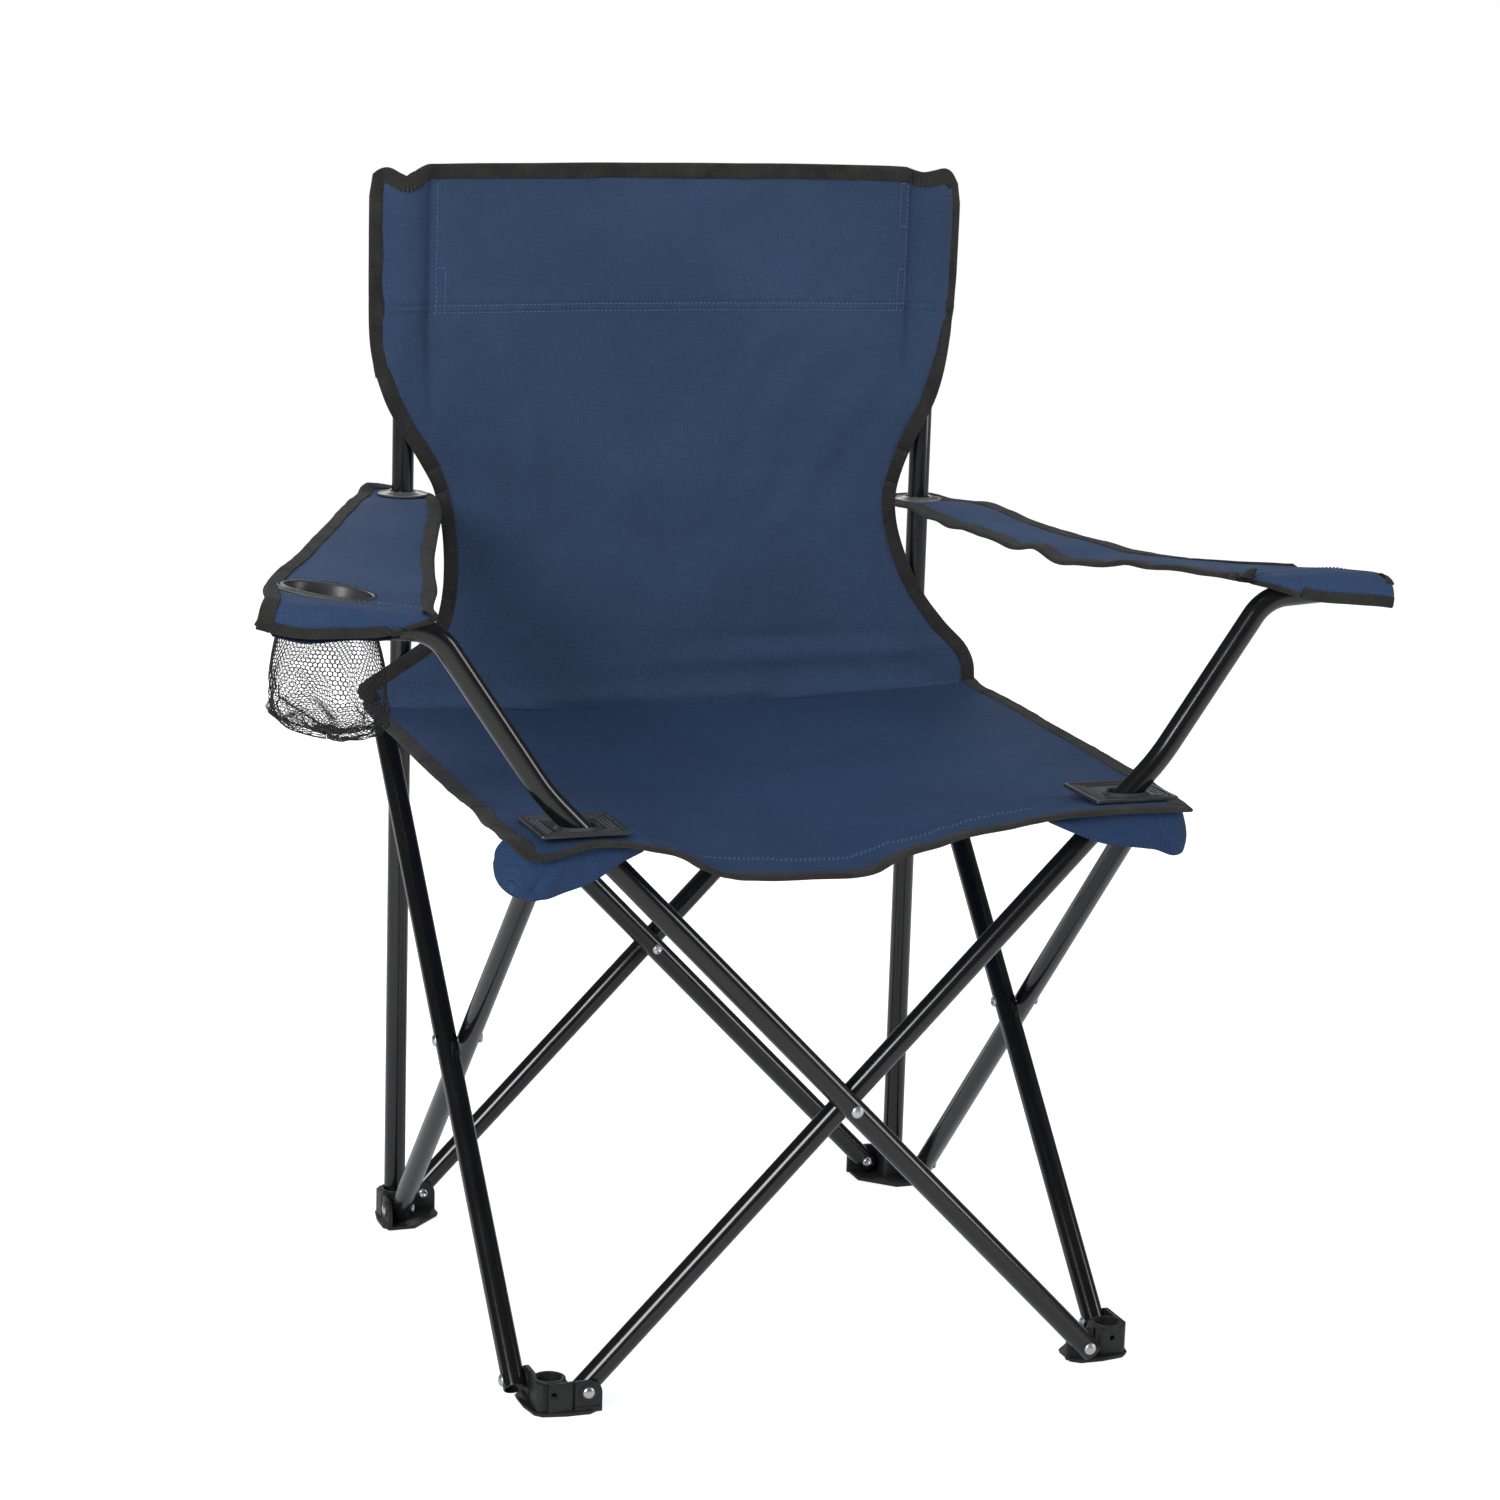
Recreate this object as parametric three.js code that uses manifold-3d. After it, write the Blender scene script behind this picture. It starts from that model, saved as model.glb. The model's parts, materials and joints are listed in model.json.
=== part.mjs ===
// Folding camp chair: four crossed pairs of steel tubes in a square box, two uprights, a fabric
// seat and back, two fabric armrests and a cup holder with a net bag. Millimetres, +Z up, the
// seat opens towards -Y, the ground is Z = 0. Modelled unfolded.
import * as THREE from "three";
import { mergeVertices } from "three/addons/utils/BufferGeometryUtils.js";
import Module from "manifold-3d";

const wasm = await Module();
wasm.setup();

// ---- driving dimensions -------------------------------------------------------------------
const TUBE_R = 8; // 16 mm round steel tube
const TUBE_WALL = 1;
const TUBE_SIDES = 20;
const CORNER = 206; // centre of the chair to a socket or upright, along X and along Y
const LUG = 24; // socket centre to a pivot
const PIVOT_Z = 15; // lower pivots above the ground
const TILT = (44.2 * Math.PI) / 180; // crossed tubes from vertical, unfolded
const TUBE_END = 7; // tube beyond its end pivot
const LAYER_IN = 1.5; // inner tube layer, outside the socket centre line
const LAYER_OUT = 18; // outer tube layer
const HALF = CORNER - LUG; // centre to a pivot
const SPAN = (2 * HALF) / Math.sin(TILT); // pivot to pivot along a crossed tube
const TOP_Z = PIVOT_Z + SPAN * Math.cos(TILT); // upper pivots
const MID_Z = (PIVOT_Z + TOP_Z) / 2;

const HEIGHT = 800; // top of the backrest
const UPRIGHT_TOP = 788;
const UPRIGHT_BOTTOM = 4;
const FOOT_H = 29;
const SOCKET_R = 12;
const SOCKET_BORE = 8.4;
const FLANGE_T = 3;
const LUG_END = 34;
const PLATE_T = 3.5;

const RIVET_R = 2.4;
const RIVET_HOLE = 2.8;
const RIVET_HEAD_R = 4.6;
const RIVET_HEAD_H = 2;

const ARM_TILT = (34 * Math.PI) / 180; // arm part of a front tube, from vertical
const ARM_END_TILT = (86 * Math.PI) / 180; // its last part, inside the armrest
const ARM_FIRST = 45; // straight run past the bracket pivot
const ARM_BEND_R = 150;
const ARM_LENGTH = 104.6;
const ARM_ELBOW_R = 32;
const ARM_TIP = 75;

const SEAT_Z = TOP_Z + 14.3; // underside of the seat cloth at its corners
const CLOTH = 2;
const SEAT_FRONT = -248;
const SEAT_BACK = 195;
const SEAT_FOLD = 150; // fold lines across the seat, from its middle
const SEAT_SAG = 38;
const BACK_Y = 193;
const BACK_CLOTH = 3;
const BACK_FOLD_LOW = 484;
const BACK_FOLD_HIGH = 564;
const ARM_Z = 557; // underside of the armrest cloth
const ARM_CLOTH = 3;
const CUP_X = -355;
const CUP_Y = -175;
const CUP_R = 32.5;
const NET_BOTTOM = 468;

// ---- materials ----------------------------------------------------------------------------
const finish = {
  steel: { color: 0x17181a, roughness: 0.22, metalness: 0.35 },
  zinc: { color: 0xb9bdc0, roughness: 0.3, metalness: 1 },
  plastic: { color: 0x1c1d1e, roughness: 0.5, metalness: 0 },
  greyPlastic: { color: 0x6a6e72, roughness: 0.45, metalness: 0 },
  cloth: { color: 0x2b3a54, roughness: 0.92, metalness: 0 },
  clothLight: { color: 0x45597a, roughness: 0.92, metalness: 0 },
  net: { color: 0x1a1b1e, roughness: 0.85, metalness: 0 },
};

// ---- solids -------------------------------------------------------------------------------
function solid(geometry) {
  const g = (geometry.index ? geometry.toNonIndexed() : geometry.clone());
  g.deleteAttribute("normal");
  g.deleteAttribute("uv");
  const m = mergeVertices(g, 1e-4);
  const from = m.index.array;
  const kept = [];
  for (let i = 0; i < from.length; i += 3) {
    const [a, b, c] = [from[i], from[i + 1], from[i + 2]];
    if (a !== b && b !== c && a !== c) kept.push(a, b, c);
  }
  let s = new wasm.Manifold(
    new wasm.Mesh({ numProp: 3, vertProperties: m.attributes.position.array, triVerts: new Uint32Array(kept) }),
  );
  if (s.volume() < 0) {
    for (let i = 0; i < kept.length; i += 3) [kept[i + 1], kept[i + 2]] = [kept[i + 2], kept[i + 1]];
    s = new wasm.Manifold(
      new wasm.Mesh({ numProp: 3, vertProperties: m.attributes.position.array, triVerts: new Uint32Array(kept) }),
    );
  }
  return s;
}
const box = (x0, x1, y0, y1, z0, z1) =>
  solid(new THREE.BoxGeometry(x1 - x0, y1 - y0, z1 - z0).translate((x0 + x1) / 2, (y0 + y1) / 2, (z0 + z1) / 2));
const turn = { x: (g) => g.rotateZ(-Math.PI / 2), y: (g) => g, z: (g) => g.rotateX(Math.PI / 2) };
// A round bar along an axis from one coordinate to another, centred at (p, q) on the other two.
function bar(axis, r, from, to, p, q, sides = 20) {
  const g = turn[axis](new THREE.CylinderGeometry(r, r, to - from, sides));
  const mid = (from + to) / 2;
  if (axis === "x") g.translate(mid, p, q);
  if (axis === "y") g.translate(p, mid, q);
  if (axis === "z") g.translate(p, q, mid);
  return solid(g);
}
function prism(points, z0, z1, holes = []) {
  const shape = new THREE.Shape(points.map(([x, y]) => new THREE.Vector2(x, y)));
  for (const h of holes) shape.holes.push(new THREE.Path(h.map(([x, y]) => new THREE.Vector2(x, y))));
  return solid(new THREE.ExtrudeGeometry(shape, { depth: z1 - z0, bevelEnabled: false }).translate(0, 0, z0));
}
function ringShape(rOut, rIn, sides) {
  const at = (r, i) => new THREE.Vector2(r * Math.cos((2 * Math.PI * i) / sides), r * Math.sin((2 * Math.PI * i) / sides));
  const shape = new THREE.Shape([...Array(sides).keys()].map((i) => at(rOut, i)));
  shape.holes.push(new THREE.Path([...Array(sides).keys()].map((i) => at(rIn, sides - i))));
  return shape;
}
// A turned part about Z from [radius, z] pairs that close on themselves.
function turned(profile, sides, x = 0, y = 0) {
  const pts = profile.map(([r, z]) => new THREE.Vector2(r, z));
  return solid(new THREE.LatheGeometry(pts, sides).rotateX(Math.PI / 2).translate(x, y, 0));
}
// A sheet over a grid: at(i, j) gives the two faces' points.
function sheet(ni, nj, at) {
  const pos = [];
  const push = (...v) => v.forEach((p) => pos.push(...p));
  const P = [...Array(ni + 1).keys()].map((i) => [...Array(nj + 1).keys()].map((j) => at(i / ni, j / nj)));
  const quad = (a, b, c, d) => push(a, b, c, a, c, d);
  for (let i = 0; i < ni; i++)
    for (let j = 0; j < nj; j++) {
      const [a, b, c, d] = [P[i][j], P[i + 1][j], P[i + 1][j + 1], P[i][j + 1]];
      quad(a[0], b[0], c[0], d[0]);
      quad(d[1], c[1], b[1], a[1]);
    }
  for (let i = 0; i < ni; i++) {
    quad(P[i][0][1], P[i + 1][0][1], P[i + 1][0][0], P[i][0][0]);
    quad(P[i][nj][0], P[i + 1][nj][0], P[i + 1][nj][1], P[i][nj][1]);
  }
  for (let j = 0; j < nj; j++) {
    quad(P[0][j][0], P[0][j + 1][0], P[0][j + 1][1], P[0][j][1]);
    quad(P[ni][j][1], P[ni][j + 1][1], P[ni][j + 1][0], P[ni][j][0]);
  }
  const g = new THREE.BufferGeometry().setAttribute("position", new THREE.Float32BufferAttribute(pos, 3));
  return solid(g);
}
// A corner's own frame: u runs inwards along X, w inwards along Y, both from the socket centre.
const cornerMatrix = (sx, sy) => [-sx, 0, 0, 0, 0, -sy, 0, 0, 0, 0, 1, 0, sx * CORNER, sy * CORNER, 0, 1];
const atCorner = (s, sx, sy) => s.transform(cornerMatrix(sx, sy));

const chair = new THREE.Group();
chair.name = "folding_camp_chair";
const whole = new THREE.Group();
chair.add(whole);
function add(name, s, material) {
  const m = s.getMesh();
  const count = m.vertProperties.length / m.numProp;
  const pos = new Float32Array(count * 3);
  for (let i = 0; i < count; i++) for (let k = 0; k < 3; k++) pos[3 * i + k] = m.vertProperties[m.numProp * i + k];
  const g = new THREE.BufferGeometry();
  g.setAttribute("position", new THREE.BufferAttribute(pos, 3));
  g.setIndex(new THREE.BufferAttribute(new Uint32Array(m.triVerts), 1));
  g.computeVertexNormals();
  const mesh = new THREE.Mesh(g, new THREE.MeshStandardMaterial({ ...finish[material], flatShading: true }));
  mesh.name = name;
  whole.add(mesh);
}

// ---- tubes --------------------------------------------------------------------------------
// A straight tube from a to b, with rivet holes drilled at the given points along the given axis.
function straightTube(a, b, holes) {
  const A = new THREE.Vector3(...a);
  const B = new THREE.Vector3(...b);
  const g = new THREE.ExtrudeGeometry(ringShape(TUBE_R, TUBE_R - TUBE_WALL, TUBE_SIDES), {
    depth: A.distanceTo(B),
    bevelEnabled: false,
  });
  g.applyQuaternion(new THREE.Quaternion().setFromUnitVectors(new THREE.Vector3(0, 0, 1), B.clone().sub(A).normalize()));
  g.translate(A.x, A.y, A.z);
  return drilled(solid(g), holes);
}
function drilled(s, holes) {
  for (const [axis, x, y, z] of holes) {
    const c = axis === "y" ? y : x;
    s = s.subtract(bar(axis, RIVET_HOLE, c - 12, c + 12, axis === "y" ? x : y, z, 10));
  }
  return s;
}
const sin = Math.sin(TILT);
const cos = Math.cos(TILT);
// Crossed tube in a plane of constant y: lower pivot at x = from * HALF, upper pivot at -from * HALF.
function crossX(from, y) {
  const e = TUBE_END;
  return straightTube(
    [from * (HALF + e * sin), y, PIVOT_Z - e * cos],
    [-from * (HALF + e * sin), y, TOP_Z + e * cos],
    [["y", from * HALF, y, PIVOT_Z], ["y", 0, y, MID_Z], ["y", -from * HALF, y, TOP_Z]],
  );
}
function crossY(from, x) {
  const e = TUBE_END;
  return straightTube(
    [x, from * (HALF + e * sin), PIVOT_Z - e * cos],
    [x, -from * (HALF + e * sin), TOP_Z + e * cos],
    [["x", x, from * HALF, PIVOT_Z], ["x", x, 0, MID_Z], ["x", x, -from * HALF, TOP_Z]],
  );
}
// Front crossed tube: past the bracket it carries on, bent, as the arm post and into the armrest.
class ArmPath extends THREE.Curve {
  constructor(from, y) {
    super();
    this.from = from;
    this.y = y;
    const first = TUBE_END + SPAN + ARM_FIRST;
    this.legs = [
      [first, 0, TILT, TILT],
      [ARM_BEND_R * (TILT - ARM_TILT), ARM_BEND_R, TILT, ARM_TILT],
      [ARM_LENGTH, 0, ARM_TILT, ARM_TILT],
      [ARM_ELBOW_R * (ARM_END_TILT - ARM_TILT), ARM_ELBOW_R, ARM_TILT, ARM_END_TILT],
      [ARM_TIP, 0, ARM_END_TILT, ARM_END_TILT],
    ];
    this.total = this.legs.reduce((t, l) => t + l[0], 0);
    this.stops = [0];
    let s = 0;
    for (const [len, r] of this.legs) {
      const n = r === 0 ? 1 : r > 100 ? 3 : 7;
      for (let i = 1; i <= n; i++) this.stops.push(s + (len * i) / n);
      s += len;
    }
  }
  place(s) {
    let x = this.from * (HALF + TUBE_END * sin);
    let z = PIVOT_Z - TUBE_END * cos;
    const side = -this.from;
    for (const [len, r, t0, t1] of this.legs) {
      const d = Math.min(s, len);
      if (r === 0) {
        x += side * d * Math.sin(t0);
        z += d * Math.cos(t0);
      } else {
        const n = 24;
        for (let i = 0; i < n; i++) {
          const t = t0 + ((t1 - t0) * (d * (i + 0.5))) / n / len;
          x += (side * d * Math.sin(t)) / n;
          z += (d * Math.cos(t)) / n;
        }
      }
      s -= d;
      if (s <= 0) break;
    }
    return new THREE.Vector3(x, this.y, z);
  }
  getPoint(t) {
    const n = this.stops.length - 1;
    const i = Math.min(n - 1, Math.floor(t * n + 1e-9));
    return this.place(this.stops[i] + (this.stops[i + 1] - this.stops[i]) * (t * n - i));
  }
  getPointAt(t) {
    return this.getPoint(t);
  }
  getTangentAt(t) {
    const n = this.stops.length - 1;
    const s = this.stops[Math.round(t * n)] ?? 0;
    const d = 0.05;
    return this.place(Math.min(this.total, s + d)).sub(this.place(Math.max(0, s - d))).normalize();
  }
  getTangent(t) {
    return this.getTangentAt(t);
  }
}
function frontTube(from, y) {
  const path = new ArmPath(from, y);
  const g = new THREE.ExtrudeGeometry(ringShape(TUBE_R, TUBE_R - TUBE_WALL, TUBE_SIDES), {
    steps: path.stops.length - 1,
    bevelEnabled: false,
    extrudePath: path,
  });
  return drilled(solid(g), [["y", from * HALF, y, PIVOT_Z], ["y", 0, y, MID_Z], ["y", -from * HALF, y, TOP_Z]]);
}
const IN = CORNER + LAYER_IN;
const OUT = CORNER + LAYER_OUT;
add("front_tube_a", frontTube(1, -OUT), "steel"); // right front foot to left armrest
add("front_tube_b", frontTube(-1, -IN), "steel"); // left front foot to right armrest
add("back_tube_a", crossX(-1, OUT), "steel"); // left rear foot to right slider
add("back_tube_b", crossX(1, IN), "steel"); // right rear foot to left slider
add("left_tube_a", crossY(1, -IN), "steel"); // left rear foot to left front bracket
add("left_tube_b", crossY(-1, -OUT), "steel"); // left front foot to left slider
add("right_tube_a", crossY(1, OUT), "steel"); // right rear foot to right front bracket
add("right_tube_b", crossY(-1, IN), "steel"); // right front foot to right slider
for (const [side, sx] of [["left", -1], ["right", 1]]) {
  const tube = straightTube([sx * CORNER, CORNER, UPRIGHT_BOTTOM], [sx * CORNER, CORNER, UPRIGHT_TOP], []);
  add(`upright_${side}`, tube.subtract(bar("y", 2.1, CORNER - 12, CORNER + 12, sx * CORNER, PIVOT_Z, 12)), "steel");
}

// ---- feet, sliders and front brackets -----------------------------------------------------
// A kind "p" moulding holds an inner-layer tube on its X lug and an outer-layer tube on its Y lug;
// kind "q" is the same with X and Y changed over.
const swap = (s) => s.transform([0, 1, 0, 0, 1, 0, 0, 0, 0, 0, 1, 0, 0, 0, 0, 1]);
const INNER_FACE = -LAYER_IN - TUBE_R - 0.5; // plate face beside an inner-layer tube
const OUTER_FACE = -LAYER_OUT + TUBE_R + 0.5; // plate face beside an outer-layer tube
function lugs(z0, z1) {
  const xLug = box(-4, LUG_END, INNER_FACE - PLATE_T, INNER_FACE, z0, z1);
  const yLug = box(OUTER_FACE, OUTER_FACE + PLATE_T, -4, LUG_END, z0, z1);
  return xLug.add(yLug);
}
function lugHoles(s, z) {
  return s
    .subtract(bar("y", RIVET_HOLE, INNER_FACE - PLATE_T - 1, INNER_FACE + 1, LUG, z, 10))
    .subtract(bar("x", RIVET_HOLE, OUTER_FACE - 1, OUTER_FACE + PLATE_T + 1, LUG, z, 10));
}
function foot() {
  const flange = prism(
    [[-15, -9], [-9, -15], [8, -20], [27, -20], [35, -12], [35, 9], [9, 35], [-12, 35], [-20, 27], [-20, 8]],
    0,
    FLANGE_T,
  );
  let s = flange
    .add(bar("z", SOCKET_R, 0, FOOT_H, 0, 0, 24))
    .add(lugs(0, FOOT_H - 1))
    .add(box(-4, 8, -13.5, -8, 0, FOOT_H - 1));
  s = s.subtract(bar("z", SOCKET_BORE, 2.6, FOOT_H + 1, 0, 0, 24));
  return lugHoles(s, PIVOT_Z);
}
const footP = foot();
const pinHole = bar("y", 2.1, -20, 20, 0, PIVOT_Z, 12);
function slider() {
  let s = bar("z", SOCKET_R, TOP_Z - 13, TOP_Z + 13, 0, 0, 24).add(lugs(TOP_Z - 11, TOP_Z + 11));
  s = s.subtract(bar("z", SOCKET_BORE + 0.2, TOP_Z - 14, TOP_Z + 14, 0, 0, 24));
  return lugHoles(s, TOP_Z);
}
const sliderP = slider();
function bracket() {
  const top = TOP_Z + 13.5;
  const outerX = INNER_FACE - PLATE_T;
  let s = box(OUTER_FACE, LUG_END, outerX, INNER_FACE, TOP_Z - 11, top)
    .add(box(OUTER_FACE, OUTER_FACE + PLATE_T, outerX, LUG_END, TOP_Z - 11, top))
    .add(prism([[OUTER_FACE, outerX], [LUG_END, outerX], [LUG_END, 0], [0, LUG_END], [OUTER_FACE, LUG_END]], top - 2, top));
  return lugHoles(s, TOP_Z);
}
const bracketP = bracket();
// The tube that carries on past its bracket needs a way through the top.
const bracketSlotP = box(-1, 60, INNER_FACE - 0.4, 7.2, TOP_Z + 9, TOP_Z + 20);
const corners = [
  ["front_left", -1, -1, "p", "q"],
  ["front_right", 1, -1, "q", "p"],
  ["rear_left", -1, 1, "q", "p"],
  ["rear_right", 1, 1, "p", "q"],
];
const kind = (s, k) => (k === "p" ? s : swap(s));
// A rivet along an axis from a to b between its heads, at the other two coordinates.
function rivet(axis, a, b, p, q) {
  const [lo, hi] = [Math.min(a, b), Math.max(a, b)];
  return bar(axis, RIVET_R, lo - 0.5, hi + 0.5, p, q, 10)
    .add(bar(axis, RIVET_HEAD_R, lo - 0.3 - RIVET_HEAD_H, lo - 0.3, p, q, 14))
    .add(bar(axis, RIVET_HEAD_R, hi + 0.3, hi + 0.3 + RIVET_HEAD_H, p, q, 14));
}
const P_X = [INNER_FACE - PLATE_T, -LAYER_IN + TUBE_R]; // plate outside, tube inside
const P_Y = [-LAYER_OUT - TUBE_R, OUTER_FACE + PLATE_T]; // tube outside, plate inside
for (const [name, sx, sy, low, high] of corners) {
  const front = sy < 0;
  add(`foot_${name}`, atCorner(kind(footP, low).subtract(pinHole), sx, sy), "plastic");
  for (const [level, k, z, top] of [["foot", low, PIVOT_Z, false], [front ? "bracket" : "slider", high, TOP_Z, true]]) {
    let rx = rivet("y", ...P_X, LUG, z);
    let ry = rivet("x", ...P_Y, LUG, z);
    if (k === "q") [rx, ry] = [swap(ry), swap(rx)];
    add(`rivet_${level}_x_${name}`, atCorner(rx, sx, sy), "zinc");
    add(`rivet_${level}_y_${name}`, atCorner(ry, sx, sy), "zinc");
    if (top && front) {
      const b = k === "p" ? bracketP.subtract(bracketSlotP) : swap(bracketP);
      add(`bracket_${name}`, atCorner(b, sx, sy), "plastic");
    }
    if (top && !front) add(`slider_${name}`, atCorner(kind(sliderP, k), sx, sy), "plastic");
  }
}
add("rivet_cross_front", rivet("y", -OUT - TUBE_R, -IN + TUBE_R, 0, MID_Z), "zinc");
add("rivet_cross_back", rivet("y", IN - TUBE_R, OUT + TUBE_R, 0, MID_Z), "zinc");
add("rivet_cross_left", rivet("x", -OUT - TUBE_R, -IN + TUBE_R, 0, MID_Z), "zinc");
add("rivet_cross_right", rivet("x", IN - TUBE_R, OUT + TUBE_R, 0, MID_Z), "zinc");
for (const [side, sx, k] of [["left", -1, "q"], ["right", 1, "p"]]) {
  const outer = k === "p" ? 13.5 : SOCKET_R;
  const pin = bar("y", 1.7, CORNER - SOCKET_R + 0.4, CORNER + outer + 0.5, sx * CORNER, PIVOT_Z, 12)
    .add(bar("y", 3.2, CORNER + outer + 0.3, CORNER + outer + 1.8, sx * CORNER, PIVOT_Z, 14));
  add(`upright_pin_${side}`, pin, "zinc");
}

// ---- seat ---------------------------------------------------------------------------------
const halfWidth = (y) => 246.5 - 0.007 * y;
const seatSag = (x, y) => {
  const a = Math.max(0, 1 - (x / 156) ** 2);
  return SEAT_SAG * a ** 1.2 * (0.22 + (0.78 * (200 - y)) / 440);
};
function seatPart(y0, y1, nj) {
  return sheet(16, nj, (i, j) => {
    const y = y0 + (y1 - y0) * j;
    const x = halfWidth(y) * (2 * i - 1);
    const z = SEAT_Z - seatSag(x, y);
    return [[x, y, z + CLOTH], [x, y, z]];
  });
}
const tubeSlot = (sx, layer, z0, z1) => {
  const w = layer;
  return box(
    Math.min(sx * (CORNER + 9), sx * (CORNER - 31)),
    Math.max(sx * (CORNER + 9), sx * (CORNER - 31)),
    -CORNER - w - TUBE_R - 0.8,
    -CORNER - w + TUBE_R + 0.8,
    z0,
    z1,
  );
};
const slotLeft = tubeSlot(-1, LAYER_OUT, SEAT_Z - 5, SEAT_Z + 12);
const slotRight = tubeSlot(1, LAYER_IN, SEAT_Z - 5, SEAT_Z + 12);
add("seat_front", seatPart(SEAT_FRONT, -SEAT_FOLD - 0.2, 4).subtract(slotLeft).subtract(slotRight), "cloth");
add("seat_fold_front", seatPart(-SEAT_FOLD + 0.2, -0.2, 5), "cloth");
add("seat_fold_rear", seatPart(0.2, SEAT_FOLD - 0.2, 5), "cloth");
add("seat_rear", seatPart(SEAT_FOLD + 0.2, SEAT_BACK, 2), "cloth");

// Ribbed plastic plates that hold the seat's front corners on the tubes.
function cornerPlate(sx, layer, slot) {
  const x = sx * (CORNER - 3);
  const y = -CORNER - layer + 10;
  const z = SEAT_Z + CLOTH + 0.4;
  let s = box(x - 33, x + 33, y - 30, y + 30, z, z + 3);
  for (const [a, b] of [[33, 30], [29, 26], [25, 22]])
    s = s.add(box(x - a, x + a, y - b, y + b, z + 2.5, z + 4.2).subtract(box(x - a + 2, x + a - 2, y - b + 2, y + b - 2, z + 2, z + 5)));
  return s.subtract(slot);
}
add("corner_plate_left", cornerPlate(-1, LAYER_OUT, slotLeft), "greyPlastic");
add("corner_plate_right", cornerPlate(1, LAYER_IN, slotRight), "greyPlastic");
// Cloth pockets sewn under the front corners, over the brackets.
function cornerPocket(sx, drop, layer) {
  const y = -CORNER - layer - 17;
  const x0 = sx * (CORNER + 36);
  const x1 = sx * (CORNER - 56);
  const low = Math.min(x0, x1);
  const high = Math.max(x0, x1);
  const front = box(low, high, y - CLOTH, y, SEAT_Z - drop, SEAT_Z - 0.4);
  const side = sx < 0 ? box(x0, x0 + CLOTH, y - CLOTH, -CORNER + 40, SEAT_Z - drop, SEAT_Z - 0.4) : box(x0 - CLOTH, x0, y - CLOTH, -CORNER + 40, SEAT_Z - drop, SEAT_Z - 0.4);
  // clear of the sagging seat
  let s = front.add(side);
  const under = sheet(16, 2, (i, j) => {
    const yy = -256 + 100 * j;
    const xx = 262 * (2 * i - 1);
    return [[xx, yy, SEAT_Z + 5], [xx, yy, SEAT_Z - seatSag(xx, yy) - 0.5]];
  });
  return s.subtract(under);
}
add("corner_pocket_left", cornerPocket(-1, 36, LAYER_OUT), "cloth");
add("corner_pocket_right", cornerPocket(1, 36, LAYER_OUT), "cloth");

// ---- back ---------------------------------------------------------------------------------
const outline = [[404, 246], [428, 236], [450, 208], [478, 190], [505, 184], [535, 178], [566, 181], [589, 194], [611, 205], [640, 222], [665, 228], [800, 230]];
function backHalf(z) {
  for (let k = 0; k + 1 < outline.length; k++) {
    const [z0, w0] = outline[k];
    const [z1, w1] = outline[k + 1];
    if (z <= z1) return w0 + ((w1 - w0) * (z - z0)) / (z1 - z0);
  }
  return outline[outline.length - 1][1];
}
const backBow = (x, z) => 16 * Math.max(0, 1 - (x / 190) ** 2) * Math.min(1, (z - 404) / 120);
function backPart(z0, z1, nj) {
  return sheet(14, nj, (i, j) => {
    const z = z0 + (z1 - z0) * j;
    const x = backHalf(z) * (2 * i - 1);
    const y = BACK_Y + backBow(x, z);
    return [[x, y, z], [x, y + BACK_CLOTH, z]];
  });
}
function sleeve(sx) {
  const x = (a, b, y0, y1, z0, z1) => box(Math.min(sx * a, sx * b), Math.max(sx * a, sx * b), y0, y1, z0, z1);
  return x(190, 228, BACK_Y, 219, 648, HEIGHT).subtract(x(180, 225.5, BACK_Y + BACK_CLOTH - 0.01, 216.6, 640, 795));
}
add("back_upper", backPart(BACK_FOLD_HIGH + 0.2, HEIGHT, 8).add(sleeve(-1)).add(sleeve(1)), "clothLight");
add("back_fold_upper", backPart(BACK_FOLD_LOW + 0.2, BACK_FOLD_HIGH - 0.2, 4), "clothLight");
add("back_fold_lower", backPart(SEAT_Z + CLOTH + 0.6, BACK_FOLD_LOW - 0.2, 4), "clothLight");

// ---- armrests -----------------------------------------------------------------------------
function armrest(sx, layer, inner, outer) {
  const front = -CORNER - layer - TUBE_R - 4.5;
  const shift = ([x, y]) => [sx * x, y < -150 ? y + (front + 236.5) : y];
  const ring = [...inner, ...[...outer].reverse()].map(shift);
  const z1 = ARM_Z + ARM_CLOTH;
  let s = prism(ring, ARM_Z, z1);
  const x = (a, b, y0, y1, z0, za) => box(Math.min(sx * a, sx * b), Math.max(sx * a, sx * b), y0, y1, z0, za);
  s = s.add(x(317, 402, front, front + 3, 530, z1)).add(x(317, 402, front, front + 23, 530, 532.5));
  s = s.add(x(400, 403, front, front + 23, 530, z1));
  return s.subtract(bar("z", 9.6, ARM_Z - 2, z1 + 2, sx * CORNER, CORNER, 24));
}
const armInner = [[187, 232], [183, 205], [191, 60], [226, -90], [264, -170], [282, -236.5]];
const cup = bar("z", CUP_R + 2.5, ARM_Z - 2, ARM_Z + 6, CUP_X, CUP_Y, 32);
const armInnerLeft = [[187, 232], [183, 205], [190, 165], [203, 115], [235, 13], [269, -106], [288, -174], [300, -236.5]];
const armOuterLeft = [[226, 232], [238, 210], [255, 171], [293, 76], [343, -49], [386, -150], [403, -190], [403, -236.5]];
add("armrest_left", armrest(-1, LAYER_OUT, armInnerLeft, armOuterLeft).subtract(cup), "clothLight");
add("armrest_right", armrest(1, LAYER_IN, armInner, [[226, 232], [234, 205], [256, 20], [292, -90], [345, -160], [403, -190], [403, -236.5]]), "clothLight");
for (const [side, sx] of [["left", -1], ["right", 1]])
  add(
    `armrest_grommet_${side}`,
    turned([[9, ARM_Z + 3.4], [15, ARM_Z + 3.4], [15, ARM_Z + 4.6], [12.5, ARM_Z + 6], [9, ARM_Z + 6], [9, ARM_Z + 3.4]], 28, sx * CORNER, CORNER),
    "greyPlastic",
  );

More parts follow.
